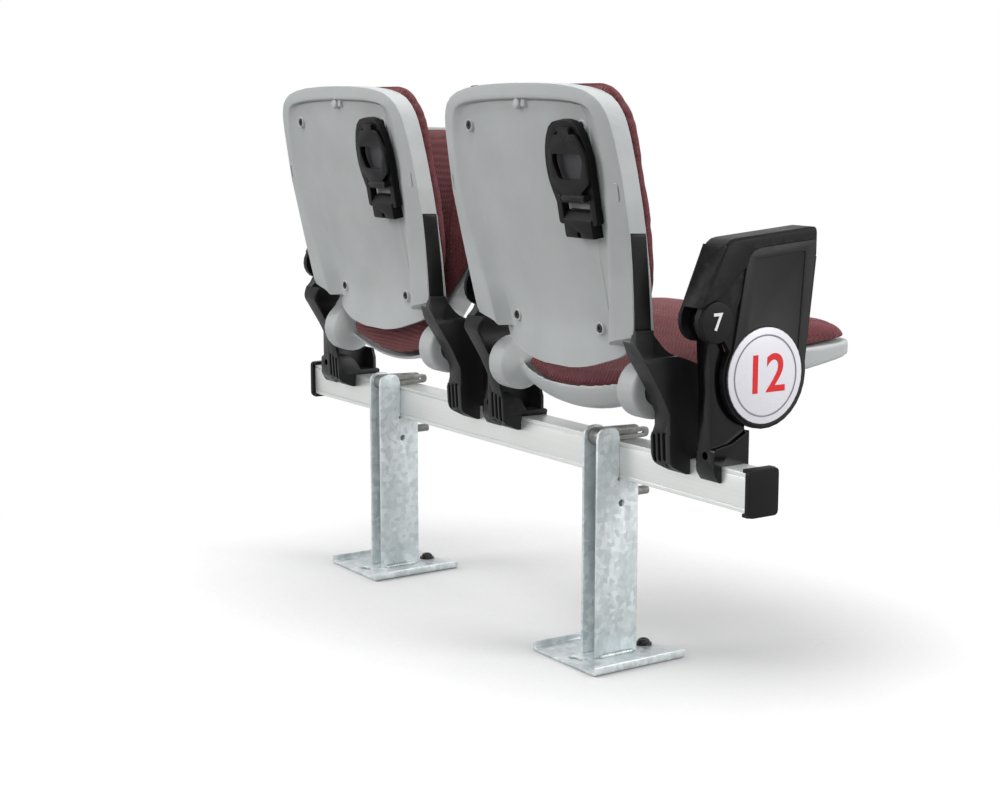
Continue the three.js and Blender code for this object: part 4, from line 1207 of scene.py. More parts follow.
@dataclass
class BackShell:
    """The backrest's moulded shell, drawn for a seat centred on X = 0 and then moved to its place.

    Its grid has a tongue at the foot, and above it a rim. The rim's rings run up one side, over the top and down
    the other, the first along the wall's front edge and the last round the panel.
    """

    form: BackForm
    rings: int = 19
    face_ring: int = 7
    crest_ring: int = 11
    panel_ring: int = 17
    inner_columns: int = 26
    foot_row: float = 0.4525
    even_from: float = 0.5
    even_to: float = 0.72
    wall_foot: float = 0.4705
    crest_foot: float = 0.4555
    panel_foot: float = 0.453
    wall_corner: float = 0.7735
    crest_corner: float = 0.7585
    panel_corner: float = 0.762
    step: float = 0.0012
    proud: float = 0.0009
    rounding: float = 0.0012
    line: float = 0.0003
    brink: float = 0.0004
    groove: float = 0.0006
    tongue_turn: float = 0.005
    slope_low: float = 0.765
    slope_high: float = 0.792
    slope_run: float = 0.027
    rise_from: float = 0.66
    rise_over: float = 0.102
    clip_height: float = 0.7635
    plug_height: float = 0.6545
    plug_inset: float = 0.0125
    plug_half: float = 0.0072
    plug_lean: float = 10.0

    TONGUE_ROWS = (0.411, 0.413, 0.4155, 0.4185, 0.422, 0.426, 0.43, 0.434, 0.4385, 0.443, 0.4475, 0.452)
    RIM_ROWS = (0.4525, 0.457, 0.463, 0.471, 0.48, 0.489, 0.498, 0.507, 0.516, 0.525, 0.534, 0.543, 0.552, 0.561,
                0.57, 0.579, 0.588, 0.5965, 0.6014, 0.6032, 0.608, 0.616, 0.624, 0.632, 0.64, 0.648, 0.656, 0.664,
                0.672, 0.68, 0.688, 0.696, 0.704, 0.712, 0.72, 0.7275, 0.735, 0.741, 0.747, 0.7525, 0.7575, 0.762)
    WALL_DROP = (0.0, 0.0, 0.0, 0.0, 0.0, 0.0, 0.0003, 0.001)
    FACE = (0.05, 0.35, 0.7, 0.93, 1.0)
    FLANK = (0.1, 0.3, 0.52, 0.74, 0.93)
    SCREWS = ((-0.131, 0.735), (0.131, 0.735), (-0.0967, 0.4705), (0.0967, 0.4705))

    @property
    def levels(self) -> tuple[float, ...]:
        """Returns the rows' heights up the side, the rim's foot being a pair of rows close together."""
        return (*self.TONGUE_ROWS, *self.RIM_ROWS)

    @property
    def last_column(self) -> int:
        """Returns the grid's last column."""
        return 2 * (self.rings - 1) + self.inner_columns

    @property
    def last_row(self) -> int:
        """Returns the grid's last row."""
        return len(self.levels) - 1 + self.rings - 1

    def side_height(self, level: float, corner: float, foot: float) -> float:
        """Stretches a row's height to a ring's own foot and corner.

        Args:
            level: The row's height.
            corner: The height of the ring's corner.
            foot: The height of the ring's foot.

        Returns:
            The height on that ring.
        """
        if level <= self.form.tongue_top or self.even_from <= level <= self.even_to:
            return level
        if level < self.even_from:
            return blend(foot, self.even_from, (level - self.foot_row) / (self.even_from - self.foot_row))
        return blend(self.even_to, corner, (level - self.even_to) / (self.panel_corner - self.even_to))

    def ring_spot(self, ring: int, height: float) -> tuple[float, float]:
        """Finds a ring's half width and depth on the side.

        Args:
            ring: The ring, 0 at the wall's front edge and the last at the panel's edge.
            height: The height.

        Returns:
            The half width and depth.
        """
        form = self.form
        sunk = form.strip_deep if height < form.strip_top else 0.0
        length = math.dist(form.rear_edge(height), form.front_edge(height))
        wall = [(length, 0.0), (form.strip_to + self.brink, 0.0), (form.strip_to, sunk), (form.strip_from, sunk),
                (form.strip_from - self.line, 0.0), (self.rounding, 0.0), (0.0, self.line)]
        if ring < len(wall):
            return form.wall(height, *wall[ring])
        outer = Vector(form.rear_edge(height))
        crest = Vector((follow(form.CREST, height), follow(form.CREST_DEPTH, height)))
        edge_x = follow(form.PANEL_EDGE, height)
        edge = Vector((edge_x, form.panel(height, edge_x)))
        index = ring - len(wall)
        if index < len(self.FACE):
            spot = outer.lerp(crest, self.FACE[index])
            if index == len(self.FACE) - 1:
                spot.y -= self.groove
            return (spot.x, spot.y)
        index -= len(self.FACE)
        if index < len(self.FLANK):
            share = self.FLANK[index]
            return (blend(crest.x, edge.x, share), edge.y + (crest.y - edge.y) * (1 - share) ** 1.75)
        return (edge.x + self.brink, edge.y + self.step)

    def ring_top(self, ring: int, share: float) -> tuple[float, float, float]:
        """Finds a ring's place along the top.

        Args:
            ring: The ring.
            share: The place along it, from -1 to 1.

        Returns:
            The place across, the depth and the height.
        """
        form = self.form
        tops = (form.OUTER_TOP, form.CREST_TOP, form.PANEL_TOP)
        outer, crest, panel = (follow(table, abs(share)) for table in tops)
        if ring <= self.face_ring:
            height = outer - self.WALL_DROP[ring]
        elif ring <= self.crest_ring:
            height = blend(outer, crest, self.FACE[ring - self.face_ring])
        else:
            height = blend(crest, panel, self.past_crest(ring))
        corner = self.corner(ring)
        half, depth = self.ring_spot(ring, corner)
        slope = (follow(form.PANEL, self.slope_high) - follow(form.PANEL, self.slope_low)) / self.slope_run
        return (half * share, depth + (height - corner) * slope, height)

    def past_crest(self, ring: int) -> float:
        """Returns a ring's share of the way from the crest to the panel."""
        return min(1.0, (ring - self.crest_ring) / (self.panel_ring - self.crest_ring))

    def corner(self, ring: int) -> float:
        """Returns the height of a ring's corner."""
        if ring < self.face_ring:
            return self.wall_corner
        if ring <= self.crest_ring:
            return blend(self.wall_corner, self.crest_corner, self.FACE[ring - self.face_ring])
        return blend(self.crest_corner, self.panel_corner, self.past_crest(ring))

    def foot(self, ring: int) -> float:
        """Returns the height of a ring's foot."""
        if ring > self.crest_ring:
            return self.panel_foot
        share = max(0, ring - self.face_ring + 1) / (self.crest_ring - self.face_ring + 1)
        return blend(self.wall_foot, self.crest_foot, min(1.0, share))

    def spot(self, column: int, row: int) -> tuple[float, float, float]:
        """Places one point of the grid.

        Args:
            column: The point's column.
            row: The point's row.

        Returns:
            The place across, the depth and the height.
        """
        form, levels, tongue = self.form, self.levels, len(self.TONGUE_ROWS)
        last = self.rings - 1
        ring = min(column, self.last_column - column, self.last_row - row, last)
        sign = -1 if column * 2 < self.last_column else 1
        across = 2 * min(max((column - last) / self.inner_columns, 0.0), 1.0) - 1
        if row < tongue:
            half = follow(form.TONGUE, levels[row])
            if ring == last:
                return (half * across, form.panel(levels[row], half * across), levels[row])
            turned = self.tongue_turn * (1 - ring / last)
            return (half * sign, form.panel(levels[row], half) - turned, levels[row])
        if ring < last and self.last_row - row == ring:
            return self.ring_top(ring, 2 * (column - ring) / (self.last_column - 2 * ring) - 1)
        if ring < last:
            place = (row - tongue) / (self.last_row - ring - tongue) * (len(levels) - 1 - tongue)
            base = tongue + min(int(place), len(levels) - 2 - tongue)
            level = blend(levels[base], levels[base + 1], place - (base - tongue))
            height = self.side_height(level, self.corner(ring), self.foot(ring))
            half, depth = self.ring_spot(ring, height)
            return (half * sign, depth, height)
        level = levels[min(row, len(levels) - 1)]
        share = max(0.0, (level - self.rise_from) / self.rise_over)
        lift = (follow(form.PANEL_TOP, abs(across)) - self.panel_corner) * share ** 2
        half = follow(form.PANEL_EDGE, level) - self.step
        proud = self.proud if abs(across) > 0.999 else 0.0
        return (half * across, form.panel(level + lift, half * across) + proud, level + lift)

    def build(self, shop: Shop, side: Side) -> None:
        """Builds the shell and puts it in its place.

        Args:
            shop: The frame and the finishes.
            side: Which seat.
        """
        rear = shop.row.rear
        Bench.clear()
        bpy.ops.mesh.primitive_grid_add(x_subdivisions=self.last_column, y_subdivisions=self.last_row, size=2)
        obj = Bench.named(f"back_shell_piece_{side.word}")
        for vertex in obj.data.vertices:
            column = round((vertex.co.x + 1) / 2 * self.last_column)
            row = round((vertex.co.y + 1) / 2 * self.last_row)
            across, depth, height = self.spot(column, row)
            vertex.co = (across, rear + depth, height)
        Bench.edit(obj, lambda: bpy.ops.mesh.remove_doubles(threshold=5e-5),
                   lambda: bpy.ops.mesh.dissolve_degenerate(threshold=5e-5),
                   lambda: bpy.ops.mesh.normals_make_consistent(inside=False))
        if sum(face.normal.y * face.area for face in obj.data.polygons) < 0:
            Bench.edit(obj, lambda: bpy.ops.mesh.flip_normals())
        Bench.modify(obj, "SOLIDIFY", thickness=self.form.skin, offset=-1, use_rim=True)
        Bench.shade(obj, angle=38)
        shell = Bench.join([obj, *self.bosses(rear), *self.clip(rear), *self.plugs(rear)])
        shell.data.transform(Matrix.Translation((shop.row.centre(side), 0, 0)))
        shop.finish(shell, "shell", "shell", "frame", [f"back_shell_{side.word}"])

    def bosses(self, rear: float) -> list[bpy.types.Object]:
        """Makes the ring round each screw.

        Args:
            rear: Y of the beam's rear face.

        Returns:
            The rings.
        """
        made = []
        for index, (x, height) in enumerate(self.SCREWS):
            place = (x, rear + self.form.panel(height, x), height)
            ring = Bench.drum(f"boss_{index}", vertices=32, radius=0.0088, depth=0.0062, place=place)
            Bench.dish(ring, lip=0.0024, sunk=0.0026)
            Bench.soften(ring, width=0.0006, segments=2, angle=50)
            made.append(ring)
        return made

    def clip(self, rear: float) -> list[bpy.types.Object]:
        """Makes the small catch at the top of the panel.

        Args:
            rear: Y of the beam's rear face.

        Returns:
            The catch's two lumps.
        """
        height = self.clip_height
        back = rear + self.form.panel(height)
        place = (0.0045, back + 0.001, height + 0.001)
        knob = Bench.drum("clip_knob", vertices=28, radius=0.0072, depth=0.012, place=place)
        Bench.soften(knob, width=0.0022, segments=3, angle=50)
        Bench.clear()
        bpy.ops.mesh.primitive_cube_add(size=1, location=(-0.0085, back, height + 0.0015),
                                        scale=(0.011, 0.009, 0.012))
        block = Bench.named("clip_block")
        Bench.on_faces(block, Bench.faces_rear, lambda: bpy.ops.transform.resize(value=(0.8, 1, 0.8)))
        Bench.soften(block, width=0.0009, segments=2, angle=40)
        return [knob, block]

    def plugs(self, rear: float) -> list[bpy.types.Object]:
        """Makes the oval plug on each side of the rim.

        Args:
            rear: Y of the beam's rear face.

        Returns:
            The plugs.
        """
        height = self.plug_height
        wide, deep = self.form.rear_edge(height)
        share = self.plug_inset / (wide - follow(self.form.CREST, height))
        back = rear + blend(deep, follow(self.form.CREST_DEPTH, height), share)
        lean = Matrix.Rotation(math.radians(-self.plug_lean), 4, "X")
        made = []
        for sign in (-1, 1):
            Bench.clear()
            bpy.ops.mesh.primitive_torus_add(major_segments=40, minor_segments=8, major_radius=0.0042,
                                             minor_radius=0.0007, location=(0, 0, 0),
                                             rotation=(QUARTER_TURN, 0, 0))
            plug = Bench.named(f"rim_plug_{sign}")
            for vertex in plug.data.vertices:
                vertex.co.z += math.copysign(self.plug_half, vertex.co.z)
            place = (sign * (wide - self.plug_inset), back - 0.0001, height)
            plug.data.transform(Matrix.Translation(place) @ lean)
            Bench.shade(plug, angle=60)
            made.append(plug)
        return made


@dataclass
class Upholstery:
    """The cushions: blown up a little by a cloth simulation, then seamed."""

    voxel: float = 0.005
    pressure: float = 4.0
    shrink: float = 0.0015
    cap: float = 0.0035
    held: float = 0.001
    frames: int = 20
    proud: float = 0.0145
    overhang: float = 0.0004
    sunk: float = 0.0108
    reach: float = 115.0
    seam_inset: float = 0.021
    seam_half: float = 0.0028
    front_inset: float = 0.026
    top: float = 0.793
    front_only: float = 0.012
    rim_foot: float = 0.474
    tongue_top: float = 0.456
    tongue_half: float = 0.128
    foot_half: float = 0.142
    gap: float = 0.0012
    lift: float = 0.145
    lift_from: float = 0.7
    shoulder: float = 0.757
    crown: float = 0.766

    CLOTH = {"use_pressure": True, "quality": 4, "tension_stiffness": 25, "compression_stiffness": 25,
             "bending_stiffness": 2}

    def swell(self, obj: bpy.types.Object, free: Vector) -> None:
        """Swells a closed cushion with Blender's cloth, and keeps each point near where it was.

        Args:
            obj: The cushion.
            free: The way the cushion's open side faces.
        """
        Bench.modify(obj, "REMESH", mode="VOXEL", voxel_size=self.voxel)
        Bench.modify(obj, "SMOOTH", factor=0.5, iterations=6)
        rest = [(vertex.co.copy(), max(0.0, vertex.normal.dot(free))) for vertex in obj.data.vertices]
        Bench.pick(obj)
        bpy.ops.object.modifier_add(type="CLOTH")
        cloth = obj.modifiers[-1]
        for key, value in self.CLOTH.items():
            setattr(cloth.settings, key, value)
        cloth.settings.uniform_pressure_force = self.pressure
        cloth.settings.effector_weights.gravity = 0
        cloth.point_cache.frame_start = 1
        cloth.point_cache.frame_end = self.frames
        scene = bpy.context.scene
        for frame in range(1, self.frames + 1):
            scene.frame_set(frame)
        bpy.ops.object.modifier_apply(modifier=cloth.name)
        scene.frame_set(1)
        for vertex, (start, share) in zip(obj.data.vertices, rest):
            moved = vertex.co - start
            most = blend(self.held, self.cap, smooth_step(share * 1.3))
            if moved.length > most:
                vertex.co = start + moved.normalized() * most

    def seam(self, obj: bpy.types.Object, near: Callable[[Vector], float], depth: float, width: float) -> None:
        """Presses a seam into the cushion where a distance falls to nothing.

        Args:
            obj: The cushion.
            near: Gives how far a point is from the seam's line.
            depth: How deep the seam is.
            width: Half the seam's width.
        """
        moves = [(vertex.index, vertex.normal.copy(), near(vertex.co)) for vertex in obj.data.vertices]
        for index, normal, distance in moves:
            pull = math.exp(-(distance / width) ** 2)
            if pull > 0.02:
                obj.data.vertices[index].co -= normal * depth * pull

    def back(self, shop: Shop, form: BackForm) -> None:
        """Makes both back cushions.

        Args:
            shop: The frame and the finishes.
            form: The form of the shell that they lie in.
        """
        row = shop.row
        first = self.started(shop, "back_cushion_right")
        centre = row.centre(Side.RIGHT)
        self.swell(first, Vector((0, -1, 0)))
        Bench.modify(first, "SUBSURF", levels=1, render_levels=1)
        widths = self.widths(first, centre)
        for vertex in first.data.vertices:
            self.tuck(vertex, form, centre, row.rear, widths)

        def edge(point: Vector) -> float:
            """Returns how far a point is from the seam round the front face."""
            inset = follow(form.FRONT, point.z) - self.overhang - abs(point.x - centre)
            high = self.top - point.z
            front = (row.rear + form.panel(point.z)) - point.y
            return 1.0 if front < self.front_only else abs(min(inset, high) - self.seam_inset)

        self.seam(first, edge, depth=0.0022, width=self.seam_half)
        self.close(shop, first, "frame", "back_cushion_right")
        self.close(shop, row.twin(first, tipped=False), "frame", "back_cushion_left")

    @staticmethod
    def widths(obj: bpy.types.Object, centre: float) -> list[tuple[float, float]]:
        """Measures a cushion's half width by height.

        Args:
            obj: The cushion.
            centre: X of its middle.

        Returns:
            A table of heights and half widths.
        """
        rows: dict[int, float] = {}
        for vertex in obj.data.vertices:
            row = round(vertex.co.z / 0.01)
            rows[row] = max(rows.get(row, 0.0), abs(vertex.co.x - centre))
        return [(row * 0.01, half) for row, half in sorted(rows.items())]

    def tuck(self, vertex: bpy.types.MeshVertex, form: BackForm, centre: float, beam_rear: float,
             widths: Sequence[tuple[float, float]]) -> None:
        """Fits a point of the back cushion to the shell: inside its tray, and as wide as it in front of it.

        Args:
            vertex: The point.
            form: The backrest's form.
            centre: X of the seat's middle.
            beam_rear: Y of the beam's rear face.
            widths: The cushion's half widths by height, as it is.
        """
        across, height = vertex.co.x - centre, vertex.co.z
        depth = vertex.co.y - beam_rear
        if height <= self.rim_foot:
            limit = self.tongue_half if height < self.tongue_top else self.foot_half
            across = math.copysign(min(abs(across), limit), across)
            most = form.panel(height, abs(across)) - form.skin - self.gap
            vertex.co = (centre + across, beam_rear + min(depth, most), height)
            return
        front, rear = follow(form.FRONT_DEPTH, height), follow(form.OUTER_DEPTH, height)
        share = (rear - depth) / (rear - front)
        ease = smooth_step((share - 0.5) / 0.45) * smooth_step((height - self.rim_foot) / 0.09)
        depth -= self.proud * ease * (1 - smooth_step((front - depth) / 0.022))
        share = (rear - depth) / (rear - front)
        spread = smooth_step((share - 1.0) / 0.1)
        lifted = height + self.lift * spread * max(0.0, height - self.lift_from)
        level = min(height, self.shoulder)
        wall = blend(follow(form.OUTER, level), follow(form.FRONT, level), min(1.0, max(0.0, share)))
        widest = blend(wall - self.sunk, follow(form.FRONT, min(lifted, self.crown)) - self.overhang, spread)
        across *= blend(1.0, widest / follow(widths, level), smooth_step((height - self.rim_foot) / 0.02))
        across = math.copysign(min(abs(across), widest), across)
        most = form.panel(height, abs(across)) - form.skin - self.gap
        vertex.co = (centre + across, beam_rear + min(depth, most), lifted)

    def seat(self, shop: Shop) -> None:
        """Makes both seat cushions, the right one down and the left one tipped up.

        Args:
            shop: The frame and the finishes.
        """
        first = self.started(shop, "seat_cushion_right")
        first = Bench.join([first, Scoop().bar("cushion_scoop", Scoop.CUSHION, self.reach, shop.row)])
        self.swell(first, Vector((0, 0, 1)))
        Bench.modify(first, "SUBSURF", levels=1, render_levels=1)
        low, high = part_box("seat_cushion_right")
        middle = (low.x + high.x) / 2

        def edge(point: Vector) -> float:
            """Returns how far a point is from the seam round the top face."""
            inset = high.x - middle - abs(point.x - middle)
            front = point.y - low.y
            return abs(min(inset, front) - self.front_inset)

        self.seam(first, edge, depth=0.002, width=self.seam_half)
        self.close(shop, first, "seat_right", "seat_cushion_right")
        self.close(shop, shop.row.twin(first, tipped=True), "seat_left", "seat_cushion_left")

    def started(self, shop: Shop, node: str) -> bpy.types.Object:
        """Copies a CAD cushion a little smaller, ready to be blown up.

        Args:
            shop: The frame and the finishes.
            node: The CAD node.

        Returns:
            The copy.
        """
        obj = shop.merged(node, node.replace("cushion", "cushion_piece"))
        Bench.edit(obj, lambda: bpy.ops.transform.shrink_fatten(value=-self.shrink))
        return obj

    def close(self, shop: Shop, obj: bpy.types.Object, body: str, node: str) -> None:
        """Finishes a cushion.

        Args:
            shop: The frame and the finishes.
            obj: The cushion.
            body: The CAD body that it rides on.
            node: The CAD node that it replaces.
        """
        Bench.shade(obj, angle=80)
        shop.finish(obj, "fabric", "cushion", body, [node])


@dataclass(frozen=True)
class Scoop:
    """The seat's rear end between its barrels.

    Each point has its reach forward of the axis and its height above it, and then how far it moves forward and up
    towards the sides, all in millimetres.
    """

    half: float = 110.0
    steps: int = 24

    SHELL = ((30, -43, 0, 18), (12, -46, 0, 20), (0, -44, 3, 19), (-12, -39.5, 7, 17.5), (-22, -31.5, 11, 16),
             (-29.5, -21.5, 14, 14), (-33.5, -11, 17, 12), (-32, -8.2, 17, 12), (-29.8, -8.6, 17, 12),
             (-25.8, -19, 14, 14), (-18.8, -27.8, 11, 16), (-9.5, -35, 7, 17.5), (2, -39, 3, 19), (30, -38, 0, 18))
    CUSHION = ((50, -5, 0, 16), (30, -10, 0, 20), (12, -14.5, 0, 24), (4, -17, 3, 22), (-8, -20, 9, 19),
               (-17, -16.5, 13, 15), (-24, -10, 17, 12), (-26, -6, 17, 12), (-21, -1.2, 15, 11), (-8, 4, 9, 10),
               (10, 8, 3, 8), (30, 13.5, 0, 4), (50, 19.5, 0, 0))

    def bar(self, name: str, rows: Sequence[tuple[float, float, float, float]], reach: float,
            row: Row) -> bpy.types.Object:
        """Makes the part of the right seat's scoop that the rows describe.

        Args:
            name: The piece's name.
            rows: The loop's points.
            reach: How far it runs to each side, in millimetres.
            row: The row's measures.

        Returns:
            The closed bar.
        """

        def loop(place: float) -> list[tuple[float, float]]:
            """Returns the loop at a place along X."""
            share = (place * 1000 / self.half) ** 2
            return [(row.pivot.y - (ahead + share * out) / 1000, row.pivot.z + (rise + share * up) / 1000)
                    for ahead, rise, out, up in rows]

        places = [blend(-reach, reach, index / self.steps) / 1000 for index in range(self.steps + 1)]
        obj = Bench.bar(name, places, loop)
        obj.data.transform(Matrix.Translation((row.centre(Side.RIGHT), 0, 0)))
        return obj


@dataclass
class SeatPan:
    """The seat's moulded shell with its two barrels."""

    voxel: float = 0.0026
    rounds: int = 4
    reach: float = 131.0

    def build(self, shop: Shop) -> None:
        """Builds both seat shells.

        Args:
            shop: The frame and the finishes.
        """
        first = shop.merged("seat_shell_right", "seat_shell_piece_right")
        first = Bench.join([first, Scoop().bar("seat_scoop", Scoop.SHELL, self.reach, shop.row)])
        Bench.modify(first, "REMESH", mode="VOXEL", voxel_size=self.voxel)
        Bench.modify(first, "SMOOTH", factor=0.5, iterations=self.rounds)
        Bench.shade(first, angle=60)
        second = shop.row.twin(first, tipped=True)
        for obj, side in ((first, Side.RIGHT), (second, Side.LEFT)):
            shop.finish(obj, "shell", "shell", f"seat_{side.word}", [f"seat_shell_{side.word}"])


@dataclass
class Hardware:
    """The brackets, pins and screws of one seat."""

    side: Side
    form: BackForm
    bends: int = 9
    outward: float = 0.0027

    LEVELS = (0.5, 0.52, 0.54, 0.56, 0.58)

    def build(self, shop: Shop) -> None:
        """Dresses the brackets, pins and screws.

        Args:
            shop: The frame and the finishes.
        """
        word = self.side.word
        for hand in Side:
            self.bracket(shop, f"bracket_{word}_{hand.word}")
            shop.dress(f"seat_pin_{word}_{hand.word}", "bolt", "bolt", 0.0006)
        for index in range(1, 5):
            name = f"back_screw_{word}_{index}"
            middle = shop.middle(name)
            piece = shop.dress(name, "bolt", "bolt", 0.0004)
            if middle.z < 0.6:
                across, height = BackShell.SCREWS[-1]
                out = math.copysign(self.outward, middle.x - shop.row.centre(self.side))
                deeper = self.form.panel(height, across) - self.form.solid_panel(middle.z)
                piece.data.transform(Matrix.Translation((out, deeper, 0)))

    def bracket(self, shop: Shop, name: str) -> None:
        """Copies a bracket and bends its upper end to the backrest's side.

        Args:
            shop: The frame and the finishes.
            name: The CAD node.
        """
        form, centre, rear = self.form, shop.row.centre(self.side), shop.row.rear
        obj = shop.merged(name, f"{name}_piece")
        bent = [blend(form.bend_foot, form.solid_foot, index / self.bends) for index in range(self.bends + 1)]
        for level in (*bent, *self.LEVELS):
            Bench.edit(obj, lambda: bpy.ops.mesh.bisect(plane_co=(0, 0, level), plane_no=(0, 0, 1)))
        for vertex in obj.data.vertices:
            across, depth = form.fit_bracket(abs(vertex.co.x - centre), vertex.co.y - rear, vertex.co.z)
            vertex.co.x = centre + math.copysign(across, vertex.co.x - centre)
            vertex.co.y = rear + depth
        Bench.edit(obj, lambda: bpy.ops.mesh.dissolve_limited(angle_limit=math.radians(0.6)))
        Bench.soften(obj, width=0.0008, segments=2, angle=38)
        shop.finish(obj, "nylon", "bracket", shop.node(name)["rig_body"], [name])


@dataclass
class CupHolder:
    """The folding cup holder on the back of one seat."""

    side: Side
    radius: float = 0.03075
    aside: float = 0.004
    above: float = 0.083
    hinge: float = 0.0015
    behind: float = 0.003
    lean: float = 10.4

    def build(self, shop: Shop) -> None:
        """Builds the holder.

        Args:
            shop: The frame and the finishes.
        """
        word = self.side.word
        shop.dress_all([(f"cup_block_{word}", "cup", "cup_holder", 0.0011, 3, 28),
                        (f"cup_ring_{word}", "cup", "cup_holder", 0.0018, 3, 38),
                        (f"cup_flap_{word}", "cup", "cup_holder", 0.0009, 3, 38)])
        self.grey_spot(shop)

    def grey_spot(self, shop: Shop) -> None:
        """Puts the grey liner disc inside the ring.

        Args:
            shop: The frame and the finishes.
        """
        word = self.side.word
        low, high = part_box(f"cup_ring_{word}")
        lean = math.radians(self.lean)
        disc = Bench.drum(f"cup_spot_{word}", vertices=64, radius=self.radius, depth=0.0032, place=(0, 0, 0))
        Bench.dish(disc, lip=0.002, sunk=0.001)
        Bench.soften(disc, width=0.0005, segments=2, angle=40)
        place = Matrix.Translation(((low.x + high.x) / 2 - self.aside,
                                    low.y + self.hinge + self.above * math.sin(lean) + self.behind,
                                    low.z + self.above * math.cos(lean)))
        disc.data.transform(place @ Matrix.Rotation(-lean, 4, "X"))
        shop.finish(disc, "spot", "cup_holder", "frame")


class Numeral:
    """Plain raised figures and rings on the arms."""

    @staticmethod
    def facing(sign: int, spot: Vector) -> Matrix:
        """Lays a shape that is drawn in XY on an outer side face.

        Args:
            sign: -1 for the right end and 1 for the left.
            spot: Where its centre goes.

        Returns:
            The matrix.
        """
        turn = Matrix(((0, 0, sign, 0), (sign, 0, 0, 0), (0, 1, 0, 0), (0, 0, 0, 1)))
        return Matrix.Translation(spot) @ turn

    @staticmethod
    def text(word: str, size: float, raised: float, name: str) -> bpy.types.Object:
        """Makes figures as a mesh, centred on the origin.

        Args:
            word: The figures.
            size: Their size.
            raised: How far they stand up.
            name: The piece's name.

        Returns:
            The piece.
        """
        Bench.clear()
        bpy.ops.object.text_add(location=(0, 0, 0))
        obj = bpy.context.object
        obj.data.body = word
        obj.data.size = size
        obj.data.align_x = "CENTER"
        obj.data.align_y = "CENTER"
        obj.data.extrude = raised
        obj.data.offset = size * 0.012
        obj.data.bevel_depth = raised * 0.25
        bpy.ops.object.convert(target="MESH")
        return Bench.named(name)

    @staticmethod
    def ring(outer: float, inner: float, raised: float, name: str) -> bpy.types.Object:
        """Makes a flat ring centred on the origin.

        Args:
            outer: Its outer radius.
            inner: Its inner radius.
            raised: How far it stands up.
            name: The piece's name.

        Returns:
            The ring.
        """
        Bench.clear()
        bpy.ops.mesh.primitive_circle_add(vertices=128, radius=outer, fill_type="NGON", location=(0, 0, 0))
        obj = Bench.named(name)
        Bench.edit(obj, lambda: bpy.ops.mesh.inset(thickness=outer - inner, depth=0))
        Bench.on_faces(obj, lambda face: len(face.vertices) > 4, lambda: bpy.ops.mesh.delete(type="FACE"))
        Bench.modify(obj, "SOLIDIFY", thickness=raised, offset=1)
        Bench.outward(obj)
        return obj


@dataclass
class Arm:
    """One arm on its column, with an end panel where it closes the row."""

    name: str
    sign: int
    ended: bool
    number: str = "12"
    seat_mark: str = "7"
    number_size: float = 0.07
    mark_size: float = 0.031
    ring_outer: float = 0.0535
    ring_inner: float = 0.0515

    def build(self, shop: Shop) -> None:
        """Builds the arm.

        Args:
            shop: The frame and the finishes.
        """
        name = self.name
        shop.dress_all([(f"arm_column_{name}", "gloss", "column", 0.0012, 3, 34),
                        (f"arm_{name}", "arm", "arm", 0.0012, 3, 34),
                        (f"hub_pin_{name}", "bolt", "bolt", 0.0006),
                        (f"hub_cap_{name}", "arm", "arm", 0.0006, 2, 30)])
        mark = Numeral.text(self.seat_mark, self.mark_size, raised=0.0004, name=f"hub_number_{name}")
        self.put_on(shop, mark, f"hub_cap_{name}", "white", "arm")
        if self.ended:
            self.end_panel(shop)

    def end_panel(self, shop: Shop) -> None:
        """Dresses the end panel and its disc.

        Args:
            shop: The frame and the finishes.
        """
        name = self.name
        shop.dress_all([(f"end_panel_{name}", "field", "arm", 0.0007, 2, 34),
                        (f"end_disc_{name}", "disc", "panel", 0.0006, 2, 30)])
        figures = Numeral.text(self.number, self.number_size, raised=0.00035, name=f"row_number_{name}")
        self.put_on(shop, figures, f"end_disc_{name}", "red", "panel")
        ring = Numeral.ring(self.ring_outer, self.ring_inner, raised=0.0004, name=f"row_ring_{name}")
        self.put_on(shop, ring, f"end_disc_{name}", "grey", "panel")

    def put_on(self, shop: Shop, piece: bpy.types.Object, node: str, finish: str, slot: str) -> None:
        """Lays a raised figure or ring on the outer face of a CAD node.

        Args:
            shop: The frame and the finishes.
            piece: The figure or ring, drawn in XY round the origin.
            node: The CAD node.
            finish: The finish's key.
            slot: The record's material slot.
        """
        low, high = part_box(node)
        face = low.x if self.sign < 0 else high.x
        centre = Vector((face, (low.y + high.y) / 2, (low.z + high.z) / 2))
        piece.data.transform(Numeral.facing(self.sign, centre))
        shop.finish(piece, finish, slot, f"armrest_{self.name}")


